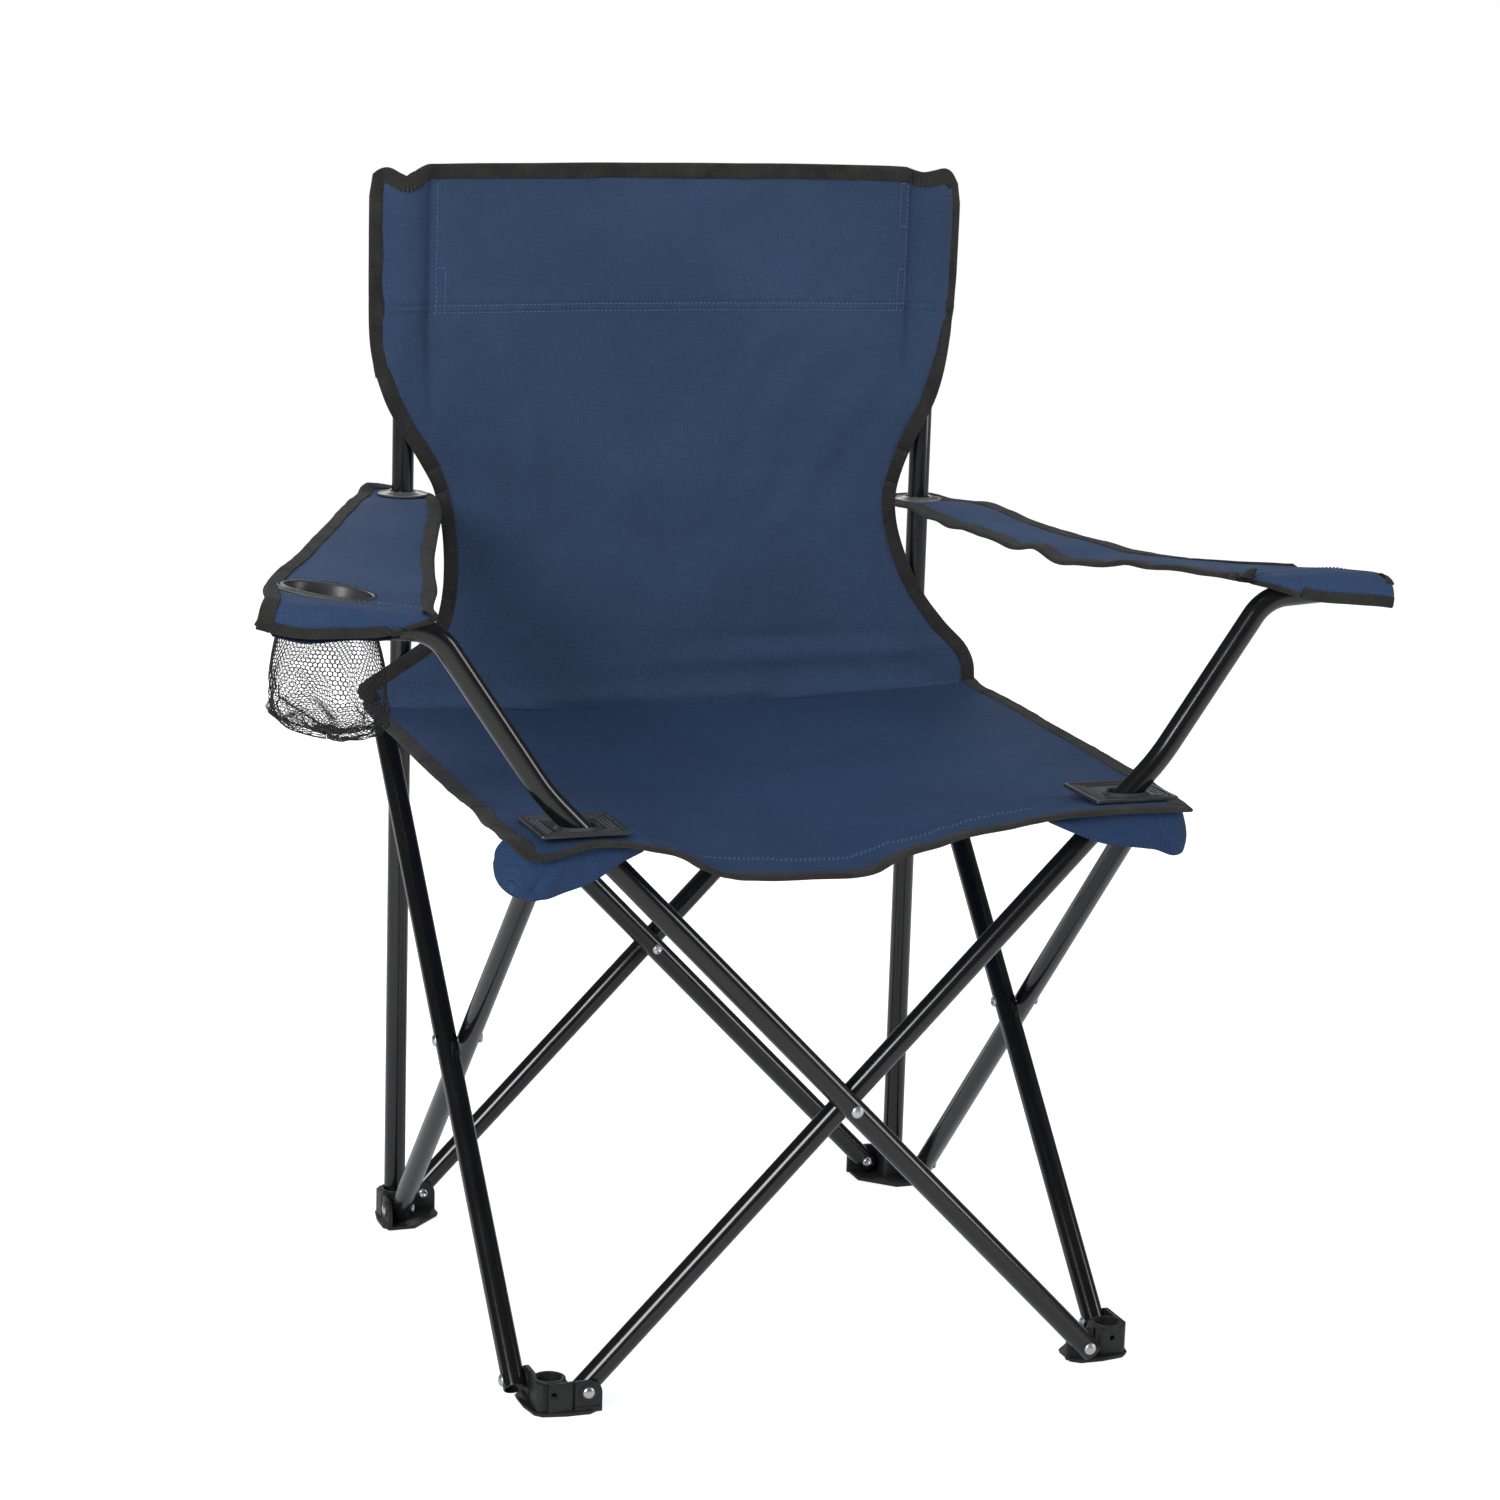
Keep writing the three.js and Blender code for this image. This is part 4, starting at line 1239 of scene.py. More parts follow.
def back_place(x, z):
    """A point of the back, its lower edge let down to the seat and its upper edge drawn to the outline."""
    low = BACK_FOOT + 22
    if z < low:
        rear = seat_height(x, SEAT_BACK) - 0.8
        z = low - (low - z) * (low - rear) / 22
    elif z > BACK_SHOULDER:
        z = BACK_SHOULDER + (z - BACK_SHOULDER) * (back_top(x) - BACK_SHOULDER) / (BACK_HEAD - BACK_SHOULDER)
    return (x, back_depth(x, z), z)


def back_facing(p):
    e = 0.6
    n = np.array((
        (back_depth(p[0] + e, p[2]) - back_depth(p[0] - e, p[2])) / (2 * e),
        -1.0,
        (back_depth(p[0], p[2] + e) - back_depth(p[0], p[2] - e)) / (2 * e),
    ))
    return n / np.linalg.norm(n)


def back_strip(x0, x1):
    """Point function of a strip of the back between two edge functions of height."""

    def point(u, v):
        a, b = x0(v), x1(v)
        return back_place(a + (b - a) * u, v)

    return point


def height_where(edge, x):
    """Height above the waist where an outline crosses x."""
    lo, hi = 566.0, 660.0
    for _ in range(40):
        mid = (lo + hi) / 2
        if abs(edge(mid)) < abs(x):
            lo = mid
        else:
            hi = mid
    return lo


def make_back():
    """The back: a middle, two folding strips below it and a sleeve round each upright."""
    blue, black, thread = cloth_material("back"), tape_material(), plain_material("thread")
    thick = bpy.context.scene.chair_sizes.cloth_thickness / MM
    root = "rear_left_upright"
    lay = lambda p: (p[0], p[2])
    us = [k / 112 for k in range(113)]
    fold_low, fold_high = BACK_FOLDS
    whole = back_strip(back_left, back_right)
    for node, z0, z1, wide in (
        ("back_fold_lower", BACK_FOOT, fold_low, 0.41),
        ("back_fold_upper", fold_low, fold_high, 0.365),
    ):
        cloth = cloth_sheet(f"{node}_cloth", whole, us, steps(z0, z1, 4), lay, blue, thick, facing=back_facing)
        sides = []
        for u, side in ((0.0, -1), (1.0, 1)):
            rim = [(u, z) for z in steps(z0, z1, 4)]
            path, normals = edge_path(whole, back_facing, rim)
            sides.append(tape(f"side{u}", path, normals, side, black, 0.9, seed=8.0 + u))
        edge = joined(f"{node}_tape", sides)
        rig.replaces(soft(cloth, node, "cloth", BACK_SQUASH), node)
        soft(edge, node, "cloth", BACK_SQUASH)
        rests = ["back_upper_middle", "slider_rear_left"]
        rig.sheet(cloth, flat=(wide, 0.08), held="stretched", rests_on=rests, with_pieces=[edge])

    middle = back_strip(lambda z: max(back_left(z), -BACK_SPLIT), lambda z: min(back_right(z), BACK_SPLIT))
    band = (BAND_Z, BAND_Z + BAND_GAP)
    vs = lines_in(steps(fold_high, BACK_SHOULDER, 4.4) + steps(BACK_SHOULDER, BACK_HEAD, 3.4)[1:], band)
    cloth = cloth_sheet("back_upper_middle", middle, us, vs, lay, blue, thick, facing=back_facing)
    rows = []
    near, far = 178, 184  # the two stitched columns beside each sleeve
    for z in band:
        path = [back_place(x, z) for x in steps(-186, 186, 3)]
        rows.append(stitches("row", path, [back_facing(p) for p in path], thread))
    for x, z0, z1 in (
        (-far, BAND_Z, 792),
        (-near, BAND_Z, 730),
        (far, BAND_Z, 792),
        (near, BAND_Z, 728),
        (near, 760, 790),
    ):
        path = [back_place(x, z) for z in steps(z0, z1, 3)]
        rows.append(stitches("column", path, [back_facing(p) for p in path], thread))
    for sx, z in ((-1, 730), (1, 728), (1, 760), (1, 790)):
        path = [back_place(sx * x, z) for x in steps(near, far, 2)]
        rows.append(stitches("bar", path, [back_facing(p) for p in path], thread, pitch=2.6, length=2.2))
    sewn = joined("back_upper_stitches", rows)
    edges = []
    left_z, right_z = height_where(back_left, BACK_SPLIT), height_where(back_right, BACK_SPLIT)
    for x_edge, top, side, seed in ((back_left, left_z, -1, 8.0), (back_right, right_z, 1, 9.0)):
        path = [back_place(x_edge(z), z) for z in steps(fold_high, top, 4)]
        edges.append(tape("edge", path, [back_facing(p) for p in path], side, black, 0.9, seed=seed))
    path = [back_place(x, BACK_HEAD) for x in steps(-BACK_SPLIT, BACK_SPLIT, 3.5)]
    edges.append(tape("top", path, [back_facing(p) for p in path], -1, black, seed=14.0))
    edge = joined("back_upper_tape", edges)
    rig.replaces(soft(cloth, root, "cloth", BACK_SQUASH), "back_upper")
    soft(sewn, root, "cloth", BACK_SQUASH)
    soft(edge, root, "cloth", BACK_SQUASH)
    rests = ["back_sleeve_left", "back_sleeve_right"]
    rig.sheet(cloth, flat=(0.38, 0.24), held="stretched", rests_on=rests, with_pieces=[sewn, edge])

    us = [k / 18 for k in range(19)]
    for name, sx, outline, start, body in (
        ("left", -1, back_left, left_z, root),
        ("right", 1, back_right, right_z, "rear_right_upright"),
    ):
        inner = lambda z, sx=sx: sx * BACK_SPLIT
        outer = lambda z, sx=sx, outline=outline: sx * max(abs(outline(z)), BACK_SPLIT + 0.4)
        a, b = (outer, inner) if sx < 0 else (inner, outer)
        vs = lines_in(steps(start, BACK_SHOULDER, 4.4) + steps(BACK_SHOULDER, BACK_HEAD, 3.0)[1:], band)
        front = cloth_sheet(
            f"back_sleeve_{name}", back_strip(a, b), us, vs, lay, blue, thick, facing=back_facing
        )

        def pocket_point(u, v, a=a, b=b):
            x = a(v) + (b(v) - a(v)) * u
            z = v
            if v > BACK_SHOULDER:
                rise = (back_top(x) - BACK_SHOULDER - 2) / (BACK_HEAD - BACK_SHOULDER)
                z = BACK_SHOULDER + (v - BACK_SHOULDER) * rise
            # round the upright at its middle and flat against the sleeve at both sides
            aside = min(abs(abs(x) - CORNER), 24) / 24
            return (x, CORNER + 10.4 - 10.5 * aside**2.2 + 0.8 * wobble(x, 3, z, 40), z)

        vs = steps(648, BACK_SHOULDER, 7) + steps(BACK_SHOULDER, BACK_HEAD, 3.5)[1:]
        behind = cloth_sheet(f"back_pocket_{name}", pocket_point, us, vs, lay, blue, 1.2, flip=True)
        path = [back_place(outline(z), z) for z in steps(start, 786, 4)]
        path += [back_place(x, BACK_HEAD) for x in steps(outline(786), sx * BACK_SPLIT, 2.2)[1:]]
        normals = [back_facing(p) for p in path]
        wide = tape(f"back_sleeve_{name}_tape", path, normals, sx, black, seed=8.0 if sx < 0 else 9.0)
        for o in (front, behind, wide):
            soft(o, body, "cloth")
        rests = [f"upright_{name}_tube"]
        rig.sheet(front, flat=(0.042, 0.22), held="stretched", rests_on=rests, with_pieces=[wide])
        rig.sheet(behind, flat=(0.04, 0.152), held="stretched", rests_on=rests)


# ---- steel --------------------------------------------------------------------------------
def hard(obj, node, slot):
    """A hard piece that stands for a CAD node and moves with that node's body."""
    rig.ride(obj, frame["nodes"][node]["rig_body"])
    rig.replaces(obj, node)
    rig.slot(obj, slot)
    return obj


def tube_run(side, legs):
    """Middle line of a crossed tube in its own plane, from its foot towards side, as (across, height)."""
    x = -side * (HALF + TUBE_END * math.sin(TILT))
    z = PIVOT_Z - TUBE_END * math.cos(TILT)
    points = [(x, z)]
    for length, start, end in legs:
        pieces = 1 if start == end else max(4, round(abs(end - start) / 3))
        for k in range(pieces):
            t = math.radians(start + (end - start) * (k + 0.5) / pieces)
            x += side * length / pieces * math.sin(t)
            z += length / pieces * math.cos(t)
            points.append((x, z))
    return points


def make_tubes():
    """Four crossed pairs, the front pair bent on into the arm posts, and the two uprights."""
    sizes = bpy.context.scene.chair_sizes
    radius, wall, enamel = sizes.tube_radius / MM, sizes.tube_wall / MM, plain_material("enamel")
    tilt = math.degrees(TILT)
    plain = ((SPAN + 2 * TUBE_END, tilt, tilt),)
    arm = ((SPAN + TUBE_END, tilt, tilt),) + ARM_LEGS
    across_x = (
        ("front_tube_a", -1, -OUT_LAYER, arm),
        ("front_tube_b", 1, -IN_LAYER, arm),
        ("back_tube_a", 1, OUT_LAYER, plain),
        ("back_tube_b", -1, IN_LAYER, plain),
    )
    across_y = (
        ("left_tube_a", -1, -IN_LAYER, plain),
        ("left_tube_b", 1, -OUT_LAYER, plain),
        ("right_tube_a", -1, OUT_LAYER, plain),
        ("right_tube_b", 1, IN_LAYER, plain),
    )
    for node, side, layer, legs in across_x:
        path = [at(a, layer, h) for a, h in tube_run(side, legs)]
        hard(round_tube(f"{node}_steel", path, Vector((0, 1, 0)), radius, wall, enamel), node, "frame_steel")
    for node, side, layer, legs in across_y:
        path = [at(layer, a, h) for a, h in tube_run(side, legs)]
        hard(round_tube(f"{node}_steel", path, Vector((1, 0, 0)), radius, wall, enamel), node, "frame_steel")
    for name, sx in (("left", -1), ("right", 1)):
        path = [at(sx * CORNER, CORNER, h) for h in (4.0, 788.0)]
        hard(
            round_tube(f"upright_{name}_tube", path, Vector((0, 1, 0)), radius, wall, enamel),
            f"upright_{name}", "frame_steel"
        )


def make_rivets():
    """Rivets with a domed head on the side that faces out and a rolled end on the other."""
    zinc = plain_material("zinc")
    for node in sorted(n for n in frame["nodes"] if n.startswith("rivet_")):
        low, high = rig.box(node)
        size, middle = high - low, (low + high) / 2
        k = max(range(3), key=lambda i: size[i])
        out = Vector((0, 0, 0))
        out[k] = 1 if middle[k] > 0 else -1
        h = size[k] / MM / 2
        profile = (
            (0, h), (1.5, h - 0.1), (2.9, h - 0.5), (3.9, h - 1.2), (4.35, h - 1.9), (4.3, h - 2.3),
            (2.0, h - 2.3), (2.0, 2.3 - h), (3.7, 2.3 - h), (3.95, 1.6 - h), (3.6, 0.6 - h), (2.7, -h),
            (1.8, 0.3 - h), (1.3, 1.1 - h), (0, 1.3 - h),
        )
        place = Matrix.Translation(middle) @ out.to_track_quat("Z", "Y").to_matrix().to_4x4()
        hard(turned(f"{node}_pin", profile, place, zinc, sides=28), node, "zinc")


# ---- mouldings ----------------------------------------------------------------------------
CORNERS = {"front_left": (-1, -1), "front_right": (1, -1), "rear_left": (-1, 1), "rear_right": (1, 1)}
INNER_ON_X = {"foot_front_left", "foot_rear_right", "slider_rear_left"}  # the x lug holds an inner-layer tube


def corner_matrix(node):
    """Places a moulding drawn for one corner, x and y running inboard from the socket, at its own corner."""
    sx, sy = CORNERS[node.split("_", 1)[1]]
    rows = [
        [-sx * MM, 0, 0, sx * CORNER * MM], [0, -sy * MM, 0, sy * CORNER * MM + SHIFT_Y], [0, 0, MM, 0],
        [0, 0, 0, 1]
    ]
    if node not in INNER_ON_X:
        rows[0][:2], rows[1][:2] = [0, -sx * MM], [-sy * MM, 0]
    return Matrix(rows)


def soft_square(half, r, n=5, cx=0.0, cy=0.0, tall=None):
    """Points of a rectangle with rounded corners."""
    points = []
    tall = half if tall is None else tall
    for k, (sx, sy) in enumerate(((1, 1), (-1, 1), (-1, -1), (1, -1))):
        for j in range(n + 1):
            t = math.pi / 2 * (k + j / n)
            points.append((cx + sx * (half - r) + r * math.cos(t), cy + sy * (tall - r) + r * math.sin(t)))
    return points


def slab(axis, points, a, b, edge=0.6):
    """A rounded plate drawn in (run, height) and a..b thick along x or y."""
    bm = rounded_prism(points, a, b, edge)
    for v in bm.verts:
        p, z, h = v.co
        v.co = (h, p, z) if axis == "x" else (p, h, z)
    bmesh.ops.recalc_face_normals(bm, faces=bm.faces)
    return bm


def lug_outline(z0, z1, end=34.0, start=-4.0):
    """A lug with its free top corner rounded off."""
    arc = [
        (end - 9 + 9 * math.sin(t), z1 - 9 + 9 * math.cos(t)) for t in (math.pi / 2 * k / 6 for k in range(7))
    ]
    return [(start, z0), (end, z0)] + list(reversed(arc)) + [(start, z1)]


def make_feet():
    """Socket block with its pin hole, two riveted lugs with a groove beside each, and a sloped flange."""
    black = plain_material("plastic")
    flange = [
        (-13.5, -8.5), (-8.5, -13.5), (8, -16.5), (26, -16.5), (33, -11), (33, 8), (8, 33), (-11, 33),
        (-16.5, 26), (-16.5, 8)
    ]
    for corner in CORNERS:
        node = f"foot_{corner}"
        p = node in INNER_ON_X
        adds = [
            rounded_prism(flange, 0.0, 3.2, 0.8, foot=[(x * 0.95 + 0.4, y * 0.95 + 0.4) for x, y in flange]),
            rounded_prism(soft_square(11.0, 4.0), 1.0, 22.6, 0.8),
            rounded_bar("z", 11.4, 20.4, 24.0, 0, 0, 0.7),
            slab("y", lug_outline(1.0, 23.4), -13.5, -10.0),
            slab("x", lug_outline(1.0, 23.4), -9.5, -6.0),
            slab("y", [(14, 2), (33, 2), (33, 5.6), (14, 5.6)], -14.4, -9.6, 0.5),
            rounded_bar("y", 6.6, -14.3, -9.6, LUG, PIVOT_Z, 0.5),
            rounded_bar("x", 6.6, -10.3, -5.6, LUG, PIVOT_Z, 0.5),
        ]
        hole_on = "y" if p else "x"
        cuts = [
            rounded_bar("z", 8.4, 2.6, 32, 0, 0, 0.05),
            rounded_bar("z", 9.3, 23.2, 32, 0, 0, 0.05),
            rounded_bar(hole_on, 2.1, -20, -4, 0, PIVOT_Z, 0.05, sides=24),
            rounded_bar(hole_on, 3.2, -20, -13.0, 0, PIVOT_Z, 0.05, sides=24),
            slab("y", [(12.6, 4.0), (14.6, 4.0), (14.6, 40), (12.6, 40)], -16, -11.6, 0.0),
            slab("x", [(12.6, 4.0), (14.6, 4.0), (14.6, 40), (12.6, 40)], -12, -7.6, 0.0),
        ]
        hard(combined(f"{node}_moulding", adds, cuts, corner_matrix(node), black), node, "black_plastic")


def make_sliders():
    """Barrels that run on the uprights, each with two riveted lugs and a collar at both ends."""
    black = plain_material("plastic")
    for side in ("left", "right"):
        node = f"slider_rear_{side}"
        z = TOP_Z
        adds = [
            rounded_bar("z", 11.6, z - 13, z + 13, 0, 0, 0.6),
            rounded_bar("z", 12.4, z + 9.4, z + 13, 0, 0, 0.6),
            rounded_bar("z", 12.4, z - 13, z - 9.4, 0, 0, 0.6),
            slab("y", lug_outline(z - 11, z + 11), -13.5, -10.0),
            slab("x", lug_outline(z - 11, z + 11), -9.5, -6.0),
            rounded_bar("y", 6.6, -14.2, -9.6, LUG, z, 0.5),
            rounded_bar("x", 6.6, -10.2, -5.6, LUG, z, 0.5),
        ]
        cuts = [rounded_bar("z", 8.5, z - 16, z + 16, 0, 0, 0.05)]
        hard(combined(f"{node}_moulding", adds, cuts, corner_matrix(node), black), node, "black_plastic")


def reach(inside, cx, cy, turn, far=70.0):
    """Distance from (cx, cy) to the edge of a shape in one direction."""
    lo, hi = 0.0, far
    for _ in range(26):
        mid = (lo + hi) / 2
        if inside(cx + mid * math.cos(turn), cy + mid * math.sin(turn)):
            lo = mid
        else:
            hi = mid
    return lo


def make_plates():
    """Ribbed plates on the seat's front corners, each with a collared slot that the arm tube passes through."""
    grey = plain_material("plate")
    z0 = 406.0
    ribs = [
        (0.5, 0.0), (0.0, 0.5), (0.0, 1.9), (0.4, 2.5), (1.0, 2.7), (2.6, 2.7), (3.2, 2.3), (3.5, 1.7),
        (4.0, 1.6)
    ]
    rib = ((2.2, 1.7), (2.5, 2.2), (3.0, 2.4), (3.5, 2.2), (3.8, 1.7), (4.3, 1.6))
    ribs += [(d + 2.6 * k, h) for k in (1, 2, 3) for d, h in rib]
    collar = [(4.6, 1.6), (4.2, 2.2), (3.2, 2.7), (2.2, 3.6), (1.4, 4.2), (0.6, 4.0), (0.0, 3.3), (0.0, 0.0)]
    turns = [2 * math.pi * k / 144 for k in range(144)]
    for side, sx, layer in (("left", -1, OUT_LAYER), ("right", 1, IN_LAYER)):
        cx, cy = sx * (CORNER - 6.5), -layer + 9.0
        sx0, sy0 = sx * 199.2, -layer

        def in_rect(x, y, inset):
            a, b, r = 31 - inset, 29 - inset, max(0.8, 2.6 - inset * 0.2)
            dx, dy = max(abs(x - cx) - (a - r), 0), max(abs(y - cy) - (b - r), 0)
            return math.hypot(dx, dy) < r

        def in_slot(x, y, more):
            return math.hypot(x - min(max(x, sx0 - 3.6), sx0 + 3.6), y - sy0) < 8.9 + more

        rings = []
        for inset, h in ribs:
            ring = []
            for t in turns:
                r = max(
                    reach(lambda x, y: in_rect(x, y, inset), sx0, sy0, t),
                    reach(lambda x, y: in_slot(x, y, 4.65), sx0, sy0, t)
                )
                ring.append((sx0 + r * math.cos(t), sy0 + r * math.sin(t), z0 + h))
            rings.append(ring)
        for more, h in collar:
            ring = []
            for t in turns:
                r = reach(lambda x, y: in_slot(x, y, more), sx0, sy0, t)
                ring.append((sx0 + r * math.cos(t), sy0 + r * math.sin(t), z0 + h))
            rings.append(ring)
        verts = [at(*p) for ring in rings for p in ring]
        n = len(turns)
        faces = []
        for i in range(len(rings)):
            j = (i + 1) % len(rings)
            for k in range(n):
                m = (k + 1) % n
                faces.append((i * n + k, i * n + m, j * n + m, j * n + k))
        obj = new_object(f"corner_plate_{side}_moulding", verts, faces, [grey])
        outward(obj)
        obj.data.set_sharp_from_angle(angle=math.radians(50))
        hard(obj, f"corner_plate_{side}", "grey_plastic")
        # the plate bends inwards with the cloth, so that its hole stays round the tilting tube
        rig.squash(obj, joint="fold", axis=(1, 0, 0), anchor=tuple(at(sx * 152, 0, 400)), keep=0.7)


def dress_hidden_parts():
    """The front brackets and the pins keep their own shapes, with rounded edges and their finishes."""
    for node, finish in (("bracket_front", plain_material("plastic")), ("upright_pin", plain_material("zinc"))):
        for side in ("left", "right"):
            o = frame["nodes"][f"{node}_{side}"]
            o.data.materials.clear()
            o.data.materials.append(finish)
            m = o.modifiers.new("rounded_edges", "BEVEL")
            m.width, m.segments, m.limit_method, m.angle_limit = 0.0004, 2, "ANGLE", math.radians(40)


# ---- armrests -----------------------------------------------------------------------------
arm_in_right = curve([
    (-240, 292), (-200, 275), (-170, 264), (-90, 226), (60, 191), (150, 184), (205, 183), (224, 184),
    (232, 188),
])
arm_out_right = curve([
    (-240, 389), (-215, 390), (-190, 382), (-160, 340), (-90, 292), (20, 257), (130, 242), (205, 234),
    (222, 231), (232, 226),
])
arm_in_left = curve([
    (-240, 300), (-174, 288), (-106, 269), (13, 235), (115, 203), (165, 190), (205, 183), (224, 184),
    (232, 188),
])
arm_out_left = curve([
    (-250, 415), (-236, 411.5), (-222, 405), (-190, 398), (-150, 382), (-49, 343), (76, 293), (171, 255),
    (210, 238), (224, 232), (232, 226),
])
right_level = curve([
    (-210, 556.8), (-190, 556.5), (-130, 554), (-90, 550), (-50, 547), (-18, 548.5), (75, 550), (150, 553),
    (206, 547.3), (232, 548.5),
])
left_level = curve([
    (-230, 558.5), (-175, 557.5), (-100, 557), (0, 558.5), (100, 560.5), (165, 561), (206, 560.3),
    (222, 561.5), (233, 563.5),
])
left_lip = curve([(292, 0.3), (310, 5.5), (325, 10.5), (342, 14.5), (388, 18.5), (417, 16)])
right_lip = curve([(274, 0.3), (300, 6), (317, 11.5), (342, 17), (380, 18.5), (400, 15)])


def arm_height(sx, x, y):
    x = abs(x)
    if sx < 0:
        lean = ramp(y, [(-175, 0.14), (0, 0.09), (150, 0.02), (230, 0.0)])
        z = left_level(y) + lean * (x - (arm_in_left(y) + arm_out_left(y)) / 2)
        z += 0.12 * (x - 206) * ramp(y, [(212, 0.0), (233, 1.0)])
        z -= 1.5 * math.exp(-max(x - arm_in_left(y), 0) / 12) * (1 + 0.6 * math.sin(y / 17))
    else:
        z = right_level(y)
        crimp = 3.0 + 1.7 * math.sin(y / 17 + 1.5 * math.sin(y / 41)) + 0.8 * math.sin(y / 7.3 + 1)
        crimp *= ramp(y, [(-190, 0.2), (-120, 1.0), (120, 1.0), (215, 0.2)])
        z -= crimp * math.exp(-max(x - arm_in_right(y), 0) / 14)
        # the outer edge curls down over the front part
        z -= 4.5 * math.exp(-max(arm_out_right(y) - x, 0) / 10) * ramp(y, [(-170, 1.0), (-40, 0.0)])
    away = math.hypot(x - 206, y - CORNER)
    z += 1.3 * wobble(x, y, 31 * sx, 60) * ramp(away, [(16, 0.0), (50, 1.0)])
    z += 0.5 * wobble(x, y, 37 * sx, 22) * ramp(away, [(16, 0.0), (50, 1.0)])
    return z


def arm_point(sx, u, v):
    """An armrest's upper ply: flat back from the tube's top, then over the tube and down in front of it."""
    inner, outer = (arm_in_left, arm_out_left) if sx < 0 else (arm_in_right, arm_out_right)
    tube_y = -OUT_LAYER if sx < 0 else -IN_LAYER
    y = max(v, tube_y)
    a, b = inner(v), outer(v)
    x = a + (b - a) * u
    # the part that folds meets the stiff front part along a slanting line
    slant, pivot = (0.2117, 330) if sx < 0 else (0.185, 345)
    near = swell(v, ARM_SPLIT[sx], 52) * ramp(v, [(tube_y, 0.0), (tube_y + 12, 1.0)])
    y += slant * (x - pivot) * near
    z = arm_height(sx, x, y)
    if v < tube_y:
        t = (tube_y - v) / LIP_RUN
        drop = (left_lip if sx < 0 else right_lip)(x)
        forward = 12.0 * min(1.0, drop / 9.0)
        bend = 0.62  # share of the lip that turns over the tube; the rest hangs
        turn = min(t / bend, 1.0) * math.pi / 2
        dz = min(forward, drop)
        y = tube_y - forward * math.sin(turn)
        z -= dz * (1 - math.cos(turn)) + (drop - dz) * max(0.0, t - bend) / (1 - bend)
        y += 0.6 * wobble(x, 5, z * 2, 16) * min(t, 1)
    return (sx * x, y, z)


def arm_facing(sx, u, v):
    e = 0.004
    a = np.subtract(arm_point(sx, u + e, v), arm_point(sx, u - e, v))
    b = np.subtract(arm_point(sx, u, v + 0.5), arm_point(sx, u, v - 0.5))
    n = np.cross(a, b) * sx
    return n / max(np.linalg.norm(n), 1e-9)


# how the armrest webs crumple as the chair folds: they end at the washers on the uprights
ARM_FOLDS = {
    "left": {
        "joint": "fold", "axis": (0.1966, 0.9287, 0.3143), "anchor": tuple(at(-330, ARM_SPLIT[-1], 558)),
        "keep": 0.1
    },
    "right": {
        "joint": "fold", "axis": (-0.1731, 0.9353, 0.3087), "anchor": tuple(at(345, ARM_SPLIT[1], 556)),
        "keep": 0.235
    },
}
ARM_LAY = lambda p: (p[0], p[1] + p[2] * 0.6)  # unrolls the part that hangs down in front
ARM_AREAS = {
    ("left", "cloth"): 0.0105, ("left", "web"): 0.0245, ("right", "cloth"): 0.005, ("right", "web"): 0.0245
}


def make_armrests():
    """Both armrests with their edge tape, the pocket over each tube end and the stitches that close it."""
    blue, black, thread = cloth_material("arm"), tape_material(), plain_material("thread")
    us = [k / 34 for k in range(35)]
    for name, sx, body in (("left", -1, "front_tube_a"), ("right", 1, "front_tube_b")):
        tube_y = -OUT_LAYER if sx < 0 else -IN_LAYER
        point = lambda u, v, sx=sx: arm_point(sx, u, v)
        split = ARM_SPLIT[sx]
        vs = steps(tube_y - LIP_RUN, tube_y, 2.2) + steps(tube_y, split, 4.0)[1:] + steps(split, 232, 5.0)[1:]
        hole = [(206, 206, 206, 10.0)]
        if sx < 0:
            hole = [(-206, -206, 206, 10.0), (RING.x, RING.x, RING.y, 31.5)]
        parts = (
            ("cloth", [v for v in vs if v <= split + 0.1], None),
            ("web", [v for v in vs if v >= split - 0.1], ARM_FOLDS[name]),
        )
        for part, rows, fold in parts:
            lo, hi = rows[0], rows[-1]
            cloth = cloth_sheet(
                f"armrest_{name}_{part}", point, us, rows, ARM_LAY, blue, 1.6, flip=sx < 0, hole=hole
            )
            if fold:
                around = [(0.0, v) for v in steps(lo, hi, 4)] + [(u, hi) for u in steps(0, 1, 0.1)[1:-1]]
                runs = [(around + [(1.0, v) for v in steps(hi, lo, 4)], 1.0)]
            else:
                outer_end = lo if sx < 0 else tube_y - 8
                runs = [
                    ([(1.0, v) for v in steps(hi, outer_end, 3)], 1.0),
                    ([(0.0, v) for v in steps(lo, hi, 3)], 1.0),
                    ([(u, lo) for u in steps(1, 0, 0.03)], 0.62),
                ]
            tapes = []
            for rim, width in runs:
                path, normals = [point(u, v) for u, v in rim], [arm_facing(sx, u, v) for u, v in rim]
                width *= 0.86 if sx < 0 else 1.0
                tapes.append(tape("run", path, normals, -sx, black, width, seed=31.0 + sx))
            extras = [joined(f"armrest_{name}_{part}_tape", tapes)]
            if not fold:
                row = [(u, tube_y + 17 + 0.8 * math.sin(u * 9)) for u in steps(0.06, 0.94, 0.03)]
                path, normals = [point(u, v) for u, v in row], [arm_facing(sx, u, v) for u, v in row]
                extras.append(stitches(f"armrest_{name}_stitches", path, normals, thread))
            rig.replaces(soft(cloth, body, "cloth", fold), f"armrest_{name}")
            for e in extras:
                soft(e, body, "cloth", fold)
            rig.sheet(
                cloth,
                flat=((0.1 if fold else 0.118), (hi - lo) * MM),
                held="stretched",
                rests_on=[f"{body}_steel"],
                area=ARM_AREAS[name, part],
                with_pieces=extras,
            )


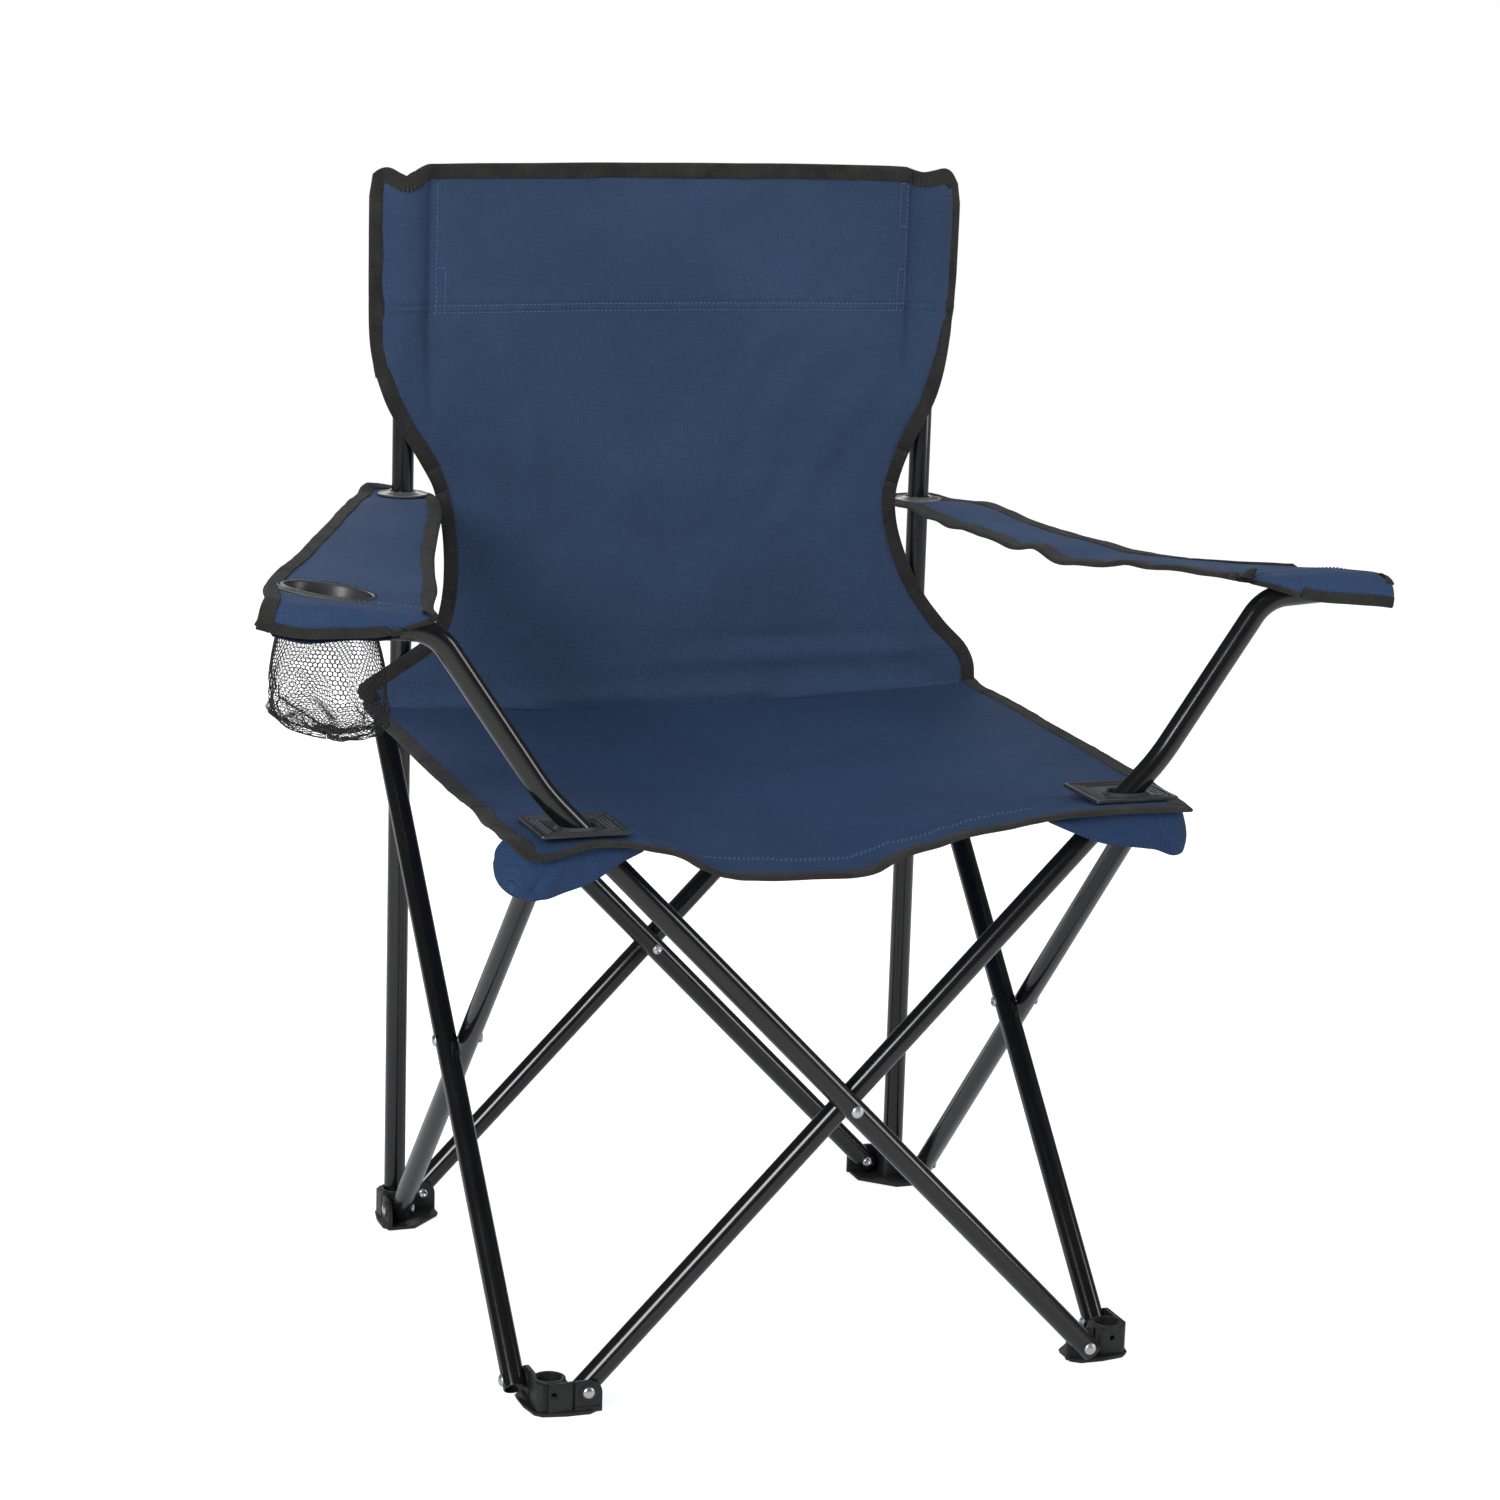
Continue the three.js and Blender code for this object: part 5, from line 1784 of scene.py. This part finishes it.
def make_under_flap():
    """A narrow ply that shows below the front edge of the left armrest."""

    def point(u, v):
        x = 322 + 82 * u
        y = -OUT_LAYER - 7.5 + 34 * v
        low = arm_height(-1, x, -OUT_LAYER) - left_lip(x) - 4.5
        return (-x, y, low + 7.0 * v + 0.8 * math.sin(x / 9) * (1 - v))

    us, vs = [k / 24 for k in range(25)], [k / 8 for k in range(9)]
    cloth = cloth_sheet(
        "armrest_left_under", point, us, vs, lambda p: (p[0], p[1]), cloth_material("arm"), 1.2, flip=True
    )
    soft(cloth, "front_tube_a", "cloth")
    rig.sheet(cloth, flat=(0.082, 0.035), held="hung", rests_on=["armrest_left_cloth"])


def make_washers():
    """Washers that the uprights pass through at the back of each armrest."""
    smoke = plain_material("washer")
    for side, sx, z in (("left", -1, 561.9), ("right", 1, 548.9)):
        profile = (
            (9.0, 0.0), (18.6, 0.0), (19.0, 0.5), (18.7, 1.1), (17.4, 1.5), (16.6, 1.3), (16.0, 1.3),
            (15.3, 1.9), (12.4, 2.2), (11.6, 2.9), (10.2, 3.1), (9.2, 2.7)
        )
        place = Matrix.Translation(at(sx * CORNER, CORNER, z))
        hard(turned(f"armrest_washer_{side}", profile, place, smoke), f"armrest_grommet_{side}", "grey_plastic")


# ---- cup holder ---------------------------------------------------------------------------
def ring_matrix():
    return Matrix.Translation(at(*RING)) @ Matrix.Rotation(RING_LEAN, 4, "Y")


def make_cup_holder():
    """Stepped ring in the left armrest and the netted bag that hangs from it."""
    grey, net = plain_material("plate"), plain_material("net")
    profile = (
        (28.0, -9.0), (29.4, -9.0), (29.6, 0.9), (36.8, 0.9), (37.5, 1.3), (37.4, 2.1), (36.7, 2.6), (35.2, 2.7),
        (34.7, 2.3), (34.1, 2.3), (33.6, 3.0), (32.8, 3.1), (32.2, 2.7), (31.6, 2.8), (31.0, 3.5), (29.8, 3.9),
        (28.7, 3.6), (28.0, 2.6),
    )
    hard(turned("cup_ring_moulding", profile, ring_matrix(), grey, sides=96), "cup_ring", "grey_plastic")
    sizes = bpy.context.scene.chair_sizes
    cell = sizes.net_cell / MM
    around = round(2 * math.pi * 35.0 / cell)
    rows = round(116.0 / (cell * 0.866))
    verts, faces, where = [], [], {}

    def spot(i, j):
        """A knot of the bag, j rows down from the ring and i half cells round it."""
        key = (i % (2 * around), j)
        if key in where:
            return where[key]
        t = 2 * math.pi * i / (2 * around)
        s = min(1.0, ((j // 2) * 3 + j % 2) / (3.0 * rows))
        if s > 0.6:
            q = (s - 0.6) / 0.4
            r = 36.5 * max(0.0, 1 - q**2.2) ** 0.6 + 0.8
            h = -74.0 - 16.0 * q**0.8
        else:
            r = 30.0 + 7.2 * ramp(s, [(0.0, 0.0), (0.42, 1.0)])
            h = -6.0 - 68.0 * (s / 0.6)
        deep = ramp(s, [(0.28, 0.0), (0.62, 1.0)])
        r *= 1 + deep * (
            0.05 * math.sin(5 * t + 1 + 4 * s) + 0.045 * math.sin(11 * t + 16 * s)
            + 0.03 * math.sin(19 * t - 25 * s)
        )
        x, y = r * math.cos(t), r * math.sin(t)
        h += deep * (2.6 * math.sin(3 * t + 2) + 1.8 * math.sin(8 * t + 11 * s))
        h -= 0.17 * x * ramp(s, [(0.1, 0.0), (0.8, 1.0)])
        where[key] = len(verts)
        top = ring_matrix() @ Vector((x * MM, y * MM, -0.004))
        low = at(RING.x + x, RING.y + y, RING.z + h)
        share = ramp(s, [(0.0, 0.0), (0.35, 1.0)])
        level = top + Vector((0, 0, (h + 4) * MM))
        verts.append(level * (1 - share) + low * share)
        return where[key]

    for row in range(rows):
        for k in range(around):
            i = 2 * k + (row % 2)
            j = 2 * row
            faces.append(
                [
                    spot(i, j), spot(i + 1, j + 1), spot(i + 1, j + 2), spot(i, j + 3), spot(i - 1, j + 2),
                    spot(i - 1, j + 1)
                ]
            )
    obj = new_object("cup_net_bag", verts, [f for f in faces if len(set(f)) == 6], [net])
    m = obj.modifiers.new("threads", "WIREFRAME")
    m.thickness, m.use_even_offset, m.use_replace, m.use_boundary = sizes.net_thread, False, True, True
    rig.ride(obj, "front_tube_a")
    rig.replaces(obj, "cup_net")
    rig.slot(obj, "net")
    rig.sheet(obj, flat=(0.23, 0.1), held="hung", rests_on=["cup_ring_moulding"], area=0.0112)


# ---- corner pockets -----------------------------------------------------------------------
def make_pockets():
    """Cloth pockets sewn under the seat's front corners, over the brackets."""
    # the seat's blue, with its painted shade
    blue = cloth_material("seat")
    shapes = {
        "left": (
            curve(
                [
                    (0, -160), (0.2, -182), (0.4, -208), (0.58, -226), (0.7, -237), (0.8, -242), (0.9, -245),
                    (1.0, -246)
                ]
            ),
            curve(
                [
                    (0, -236), (0.2, -239), (0.4, -240), (0.58, -240), (0.7, -238.5), (0.8, -234), (0.9, -227),
                    (1.0, -219)
                ]
            ),
            curve(
                [
                    (0, 393), (0.12, 387), (0.3, 375), (0.45, 369), (0.58, 366), (0.7, 366.5), (0.8, 370),
                    (0.9, 376), (1.0, 387)
                ]
            ),
            -1,
        ),
        "right": (
            curve(
                [(0, 128), (0.2, 154), (0.4, 181), (0.6, 207), (0.72, 221), (0.8, 227), (0.88, 231), (1.0, 232)]
            ),
            curve(
                [
                    (0, -238), (0.2, -240), (0.4, -241), (0.6, -242), (0.72, -241), (0.8, -236), (0.88, -222),
                    (1.0, -196)
                ]
            ),
            curve(
                [
                    (0, 399), (0.15, 390), (0.3, 382.5), (0.45, 379), (0.6, 376), (0.72, 371), (0.8, 374),
                    (0.88, 380), (1.0, 398)
                ]
            ),
            1,
        ),
    }
    for name, (xs, ys, bottoms, sx) in shapes.items():
        def point(u, v, xs=xs, ys=ys, bottoms=bottoms):
            x, y = xs(u), ys(u)
            dx, dy = xs(u + 0.01) - xs(u - 0.01), ys(u + 0.01) - ys(u - 0.01)
            d = math.hypot(dx, dy)
            out = (sx * dy / d, -sx * dx / d)
            top = seat_height(min(max(x, -250), 246), y) - 1.2
            low = min(bottoms(u), top - 1.5)
            flare = (9.0 if sx < 0 else 3.0) * v * ramp(u, [(0.4, 0.0), (0.78, 1.0)])
            crease = 2.6 * swell(u, 0.5 + 0.22 * v, 0.035) + 1.8 * swell(u, 0.82 - 0.2 * v, 0.03)
            puff = 2.8 * math.sin(math.pi * v) + flare + (3.6 * wobble(u * 90, v * 34, 3 + sx, 19) - crease) * v
            return (x + out[0] * puff, y + out[1] * puff, top + (low - top) * v)

        us, vs = [k / 40 for k in range(41)], [k / 12 for k in range(13)]
        cloth = cloth_sheet(
            f"corner_pocket_{name}_cloth", point, us, vs, lambda p: (p[0] + p[1], p[2]), blue, 1.2, flip=sx > 0
        )
        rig.replaces(soft(cloth, f"bracket_{name}", "cloth"), f"corner_pocket_{name}")
        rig.sheet(cloth, flat=(0.15, 0.035), held="hung", rests_on=["seat_front_cloth"], area=0.0036)


# ---- stage --------------------------------------------------------------------------------
def glow_panel(name, where, aim, size, power, tint=(1.0, 1.0, 1.0)):
    light = bpy.data.lights.new(name, "AREA")
    light.shape = "RECTANGLE"
    light.size, light.size_y = size
    light.energy = power
    light.color = tint
    o = bpy.data.objects.new(name, light)
    o.location = where
    o.rotation_euler = (Vector(aim) - Vector(where)).to_track_quat("-Z", "Y").to_euler()
    bpy.context.scene.collection.objects.link(o)
    return o


CAMERA_PLACE, CAMERA_AIM = at(-950, -2611, 1003), at(-1, 0, 403)
CAMERA_ROLL = math.radians(1.77)
CAMERA_LENS = 94.92
FLOOR_HALF = 90.0


def make_stage():
    """Pale floor, white surroundings, soft panels of light and the camera."""
    scene = bpy.context.scene
    verts = [(x * FLOOR_HALF, y * FLOOR_HALF, 0) for x, y in ((-1, -1), (1, -1), (1, 1), (-1, 1))]
    pale = bpy.data.materials.new("pale_floor")
    pale.use_nodes = True
    tree = pale.node_tree
    principled = next(n for n in tree.nodes if n.type == "BSDF_PRINCIPLED")
    cloud = tree.nodes.new("ShaderNodeTexNoise")
    feed(tree, cloud.inputs["Scale"], 3.0)
    feed(tree, cloud.inputs["Detail"], 3.0)
    tree.links.new(spread(tree, cloud.outputs[0], 0.3, 0.7, 0.84, 0.9), principled.inputs["Roughness"])
    principled.inputs["Base Color"].default_value = (0.85, 0.85, 0.85, 1.0)
    # seen directly the floor is lifted towards white, and what bounces off it isn't
    rays = tree.nodes.new("ShaderNodeLightPath")
    principled.inputs["Emission Color"].default_value = (1.0, 1.0, 1.0, 1.0)
    tree.links.new(times(tree, rays.outputs["Is Camera Ray"], 0.68), principled.inputs["Emission Strength"])
    principled.inputs["Specular IOR Level"].default_value = 0.1
    floor = new_object("floor", verts, [(0, 1, 2, 3)], [pale])
    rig.stage(floor)

    world = bpy.data.worlds.new("studio")
    scene.world = world
    world.use_nodes = True
    tree = world.node_tree
    tree.nodes.clear()

    def sky(tint, strength):
        n = tree.nodes.new("ShaderNodeBackground")
        n.inputs["Color"].default_value, n.inputs["Strength"].default_value = tint, strength
        return n

    cool = (0.94, 0.96, 1.0, 1.0)
    seen, lit, mirrored = sky((1.0, 1.0, 1.0, 1.0), 1.0), sky(cool, 0.42), sky(cool, 0.08)
    rays = tree.nodes.new("ShaderNodeLightPath")
    out = tree.nodes.new("ShaderNodeOutputWorld")
    last = lit
    for kind, source in (("Is Glossy Ray", mirrored), ("Is Camera Ray", seen)):
        mix = tree.nodes.new("ShaderNodeMixShader")
        tree.links.new(rays.outputs[kind], mix.inputs[0])
        tree.links.new(last.outputs[0], mix.inputs[1])
        tree.links.new(source.outputs[0], mix.inputs[2])
        last = mix
    tree.links.new(last.outputs[0], out.inputs["Surface"])

    glow_panel("key_panel", (-2.3, -2.0, 1.7), (0, 0, 0.4), (1.1, 1.4), 56)
    glow_panel("side_panel", (2.4, -1.1, 1.1), (0, 0, 0.4), (0.8, 1.5), 17)
    glow_panel("back_panel", (0.3, 2.4, 1.6), (0, 0, 0.5), (2.0, 1.0), 14)
    glow_panel("top_panel", (0, 0.1, 2.6), (0, 0, 0), (2.0, 2.0), 9)

    scene.view_settings.view_transform = "Standard"
    camera = bpy.data.cameras.new("camera")
    camera.lens, camera.sensor_width = CAMERA_LENS, 36.0
    camera.clip_end = 300
    o = bpy.data.objects.new("camera", camera)
    turn = (CAMERA_AIM - CAMERA_PLACE).to_track_quat("-Z", "Y").to_matrix().to_4x4()
    o.matrix_world = Matrix.Translation(CAMERA_PLACE) @ turn @ Matrix.Rotation(CAMERA_ROLL, 4, "Z")
    scene.collection.objects.link(o)
    scene.camera = o


# ---- operators ----------------------------------------------------------------------------
class CHAIR_OT_tubes(bpy.types.Operator):
    """Build the crossed tubes, arm posts and uprights"""

    bl_idname = "chair.tubes"
    bl_label = "Steel tubes"
    bl_options = {"REGISTER", "UNDO"}

    def execute(self, context):
        make_tubes()
        return {"FINISHED"}


class CHAIR_OT_rivets(bpy.types.Operator):
    """Build every rivet of the frame"""

    bl_idname = "chair.rivets"
    bl_label = "Rivets"
    bl_options = {"REGISTER", "UNDO"}

    def execute(self, context):
        make_rivets()
        return {"FINISHED"}


class CHAIR_OT_feet(bpy.types.Operator):
    """Build the four moulded feet"""

    bl_idname = "chair.feet"
    bl_label = "Feet"
    bl_options = {"REGISTER", "UNDO"}

    def execute(self, context):
        make_feet()
        return {"FINISHED"}


class CHAIR_OT_sliders(bpy.types.Operator):
    """Build the two sliders on the uprights"""

    bl_idname = "chair.sliders"
    bl_label = "Sliders"
    bl_options = {"REGISTER", "UNDO"}

    def execute(self, context):
        make_sliders()
        return {"FINISHED"}


class CHAIR_OT_plates(bpy.types.Operator):
    """Build the ribbed plates on the seat's front corners"""

    bl_idname = "chair.plates"
    bl_label = "Corner plates"
    bl_options = {"REGISTER", "UNDO"}

    def execute(self, context):
        make_plates()
        return {"FINISHED"}


class CHAIR_OT_hidden_parts(bpy.types.Operator):
    """Give the front brackets and the pins their finishes"""

    bl_idname = "chair.hidden_parts"
    bl_label = "Brackets and pins"
    bl_options = {"REGISTER", "UNDO"}

    def execute(self, context):
        dress_hidden_parts()
        return {"FINISHED"}


class CHAIR_OT_seat(bpy.types.Operator):
    """Build the seat cloth with its tape and stitches"""

    bl_idname = "chair.seat"
    bl_label = "Seat"
    bl_options = {"REGISTER", "UNDO"}

    def execute(self, context):
        make_seat()
        return {"FINISHED"}


class CHAIR_OT_back(bpy.types.Operator):
    """Build the back cloth, its sleeves, tape and stitches"""

    bl_idname = "chair.back"
    bl_label = "Back"
    bl_options = {"REGISTER", "UNDO"}

    def execute(self, context):
        make_back()
        return {"FINISHED"}


class CHAIR_OT_pockets(bpy.types.Operator):
    """Build the pockets under the seat's front corners"""

    bl_idname = "chair.pockets"
    bl_label = "Corner pockets"
    bl_options = {"REGISTER", "UNDO"}

    def execute(self, context):
        make_pockets()
        return {"FINISHED"}


class CHAIR_OT_armrests(bpy.types.Operator):
    """Build both armrests with their tape and stitches"""

    bl_idname = "chair.armrests"
    bl_label = "Armrests"
    bl_options = {"REGISTER", "UNDO"}

    def execute(self, context):
        make_armrests()
        make_under_flap()
        return {"FINISHED"}


class CHAIR_OT_washers(bpy.types.Operator):
    """Build the washers round the uprights"""

    bl_idname = "chair.washers"
    bl_label = "Washers"
    bl_options = {"REGISTER", "UNDO"}

    def execute(self, context):
        make_washers()
        return {"FINISHED"}


class CHAIR_OT_cup_holder(bpy.types.Operator):
    """Build the cup ring and its net bag"""

    bl_idname = "chair.cup_holder"
    bl_label = "Cup holder"
    bl_options = {"REGISTER", "UNDO"}

    def execute(self, context):
        make_cup_holder()
        return {"FINISHED"}


class CHAIR_OT_stage(bpy.types.Operator):
    """Set up the floor, the lights and the camera"""

    bl_idname = "chair.stage"
    bl_label = "Stage"
    bl_options = {"REGISTER", "UNDO"}

    def execute(self, context):
        make_stage()
        return {"FINISHED"}


STEPS = (
    CHAIR_OT_tubes,
    CHAIR_OT_rivets,
    CHAIR_OT_feet,
    CHAIR_OT_sliders,
    CHAIR_OT_plates,
    CHAIR_OT_hidden_parts,
    CHAIR_OT_seat,
    CHAIR_OT_back,
    CHAIR_OT_pockets,
    CHAIR_OT_armrests,
    CHAIR_OT_washers,
    CHAIR_OT_cup_holder,
    CHAIR_OT_stage,
)


class CHAIR_PT_panel(bpy.types.Panel):
    """Lists the chair's colours, sizes and building steps"""

    bl_idname = "CHAIR_PT_panel"
    bl_label = "Folding camp chair"
    bl_space_type = "VIEW_3D"
    bl_region_type = "UI"
    bl_category = "Chair"

    def draw(self, context):
        for group in (context.scene.chair_colours, context.scene.chair_sizes):
            column = self.layout.column()
            for name in group.__annotations__:
                column.prop(group, name)
        for step in STEPS:
            self.layout.operator(step.bl_idname)


CLASSES = (ChairColours, ChairSizes, *STEPS, CHAIR_PT_panel)


def register():
    for c in CLASSES:
        bpy.utils.register_class(c)
    bpy.types.Scene.chair_colours = bpy.props.PointerProperty(type=ChairColours)
    bpy.types.Scene.chair_sizes = bpy.props.PointerProperty(type=ChairSizes)


def unregister():
    del bpy.types.Scene.chair_sizes
    del bpy.types.Scene.chair_colours
    for c in reversed(CLASSES):
        bpy.utils.unregister_class(c)


def main():
    register()
    for step in STEPS:
        group, name = step.bl_idname.split(".")
        getattr(getattr(bpy.ops, group), name)()
    bpy.context.view_layer.update()
    sizes = {"cad": [list(c) for c in CAD_BOX], "visual": [list(c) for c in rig.bounds()]}
    with open("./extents.json", "w") as f:
        json.dump(sizes, f)


if __name__ == "__main__":
    main()
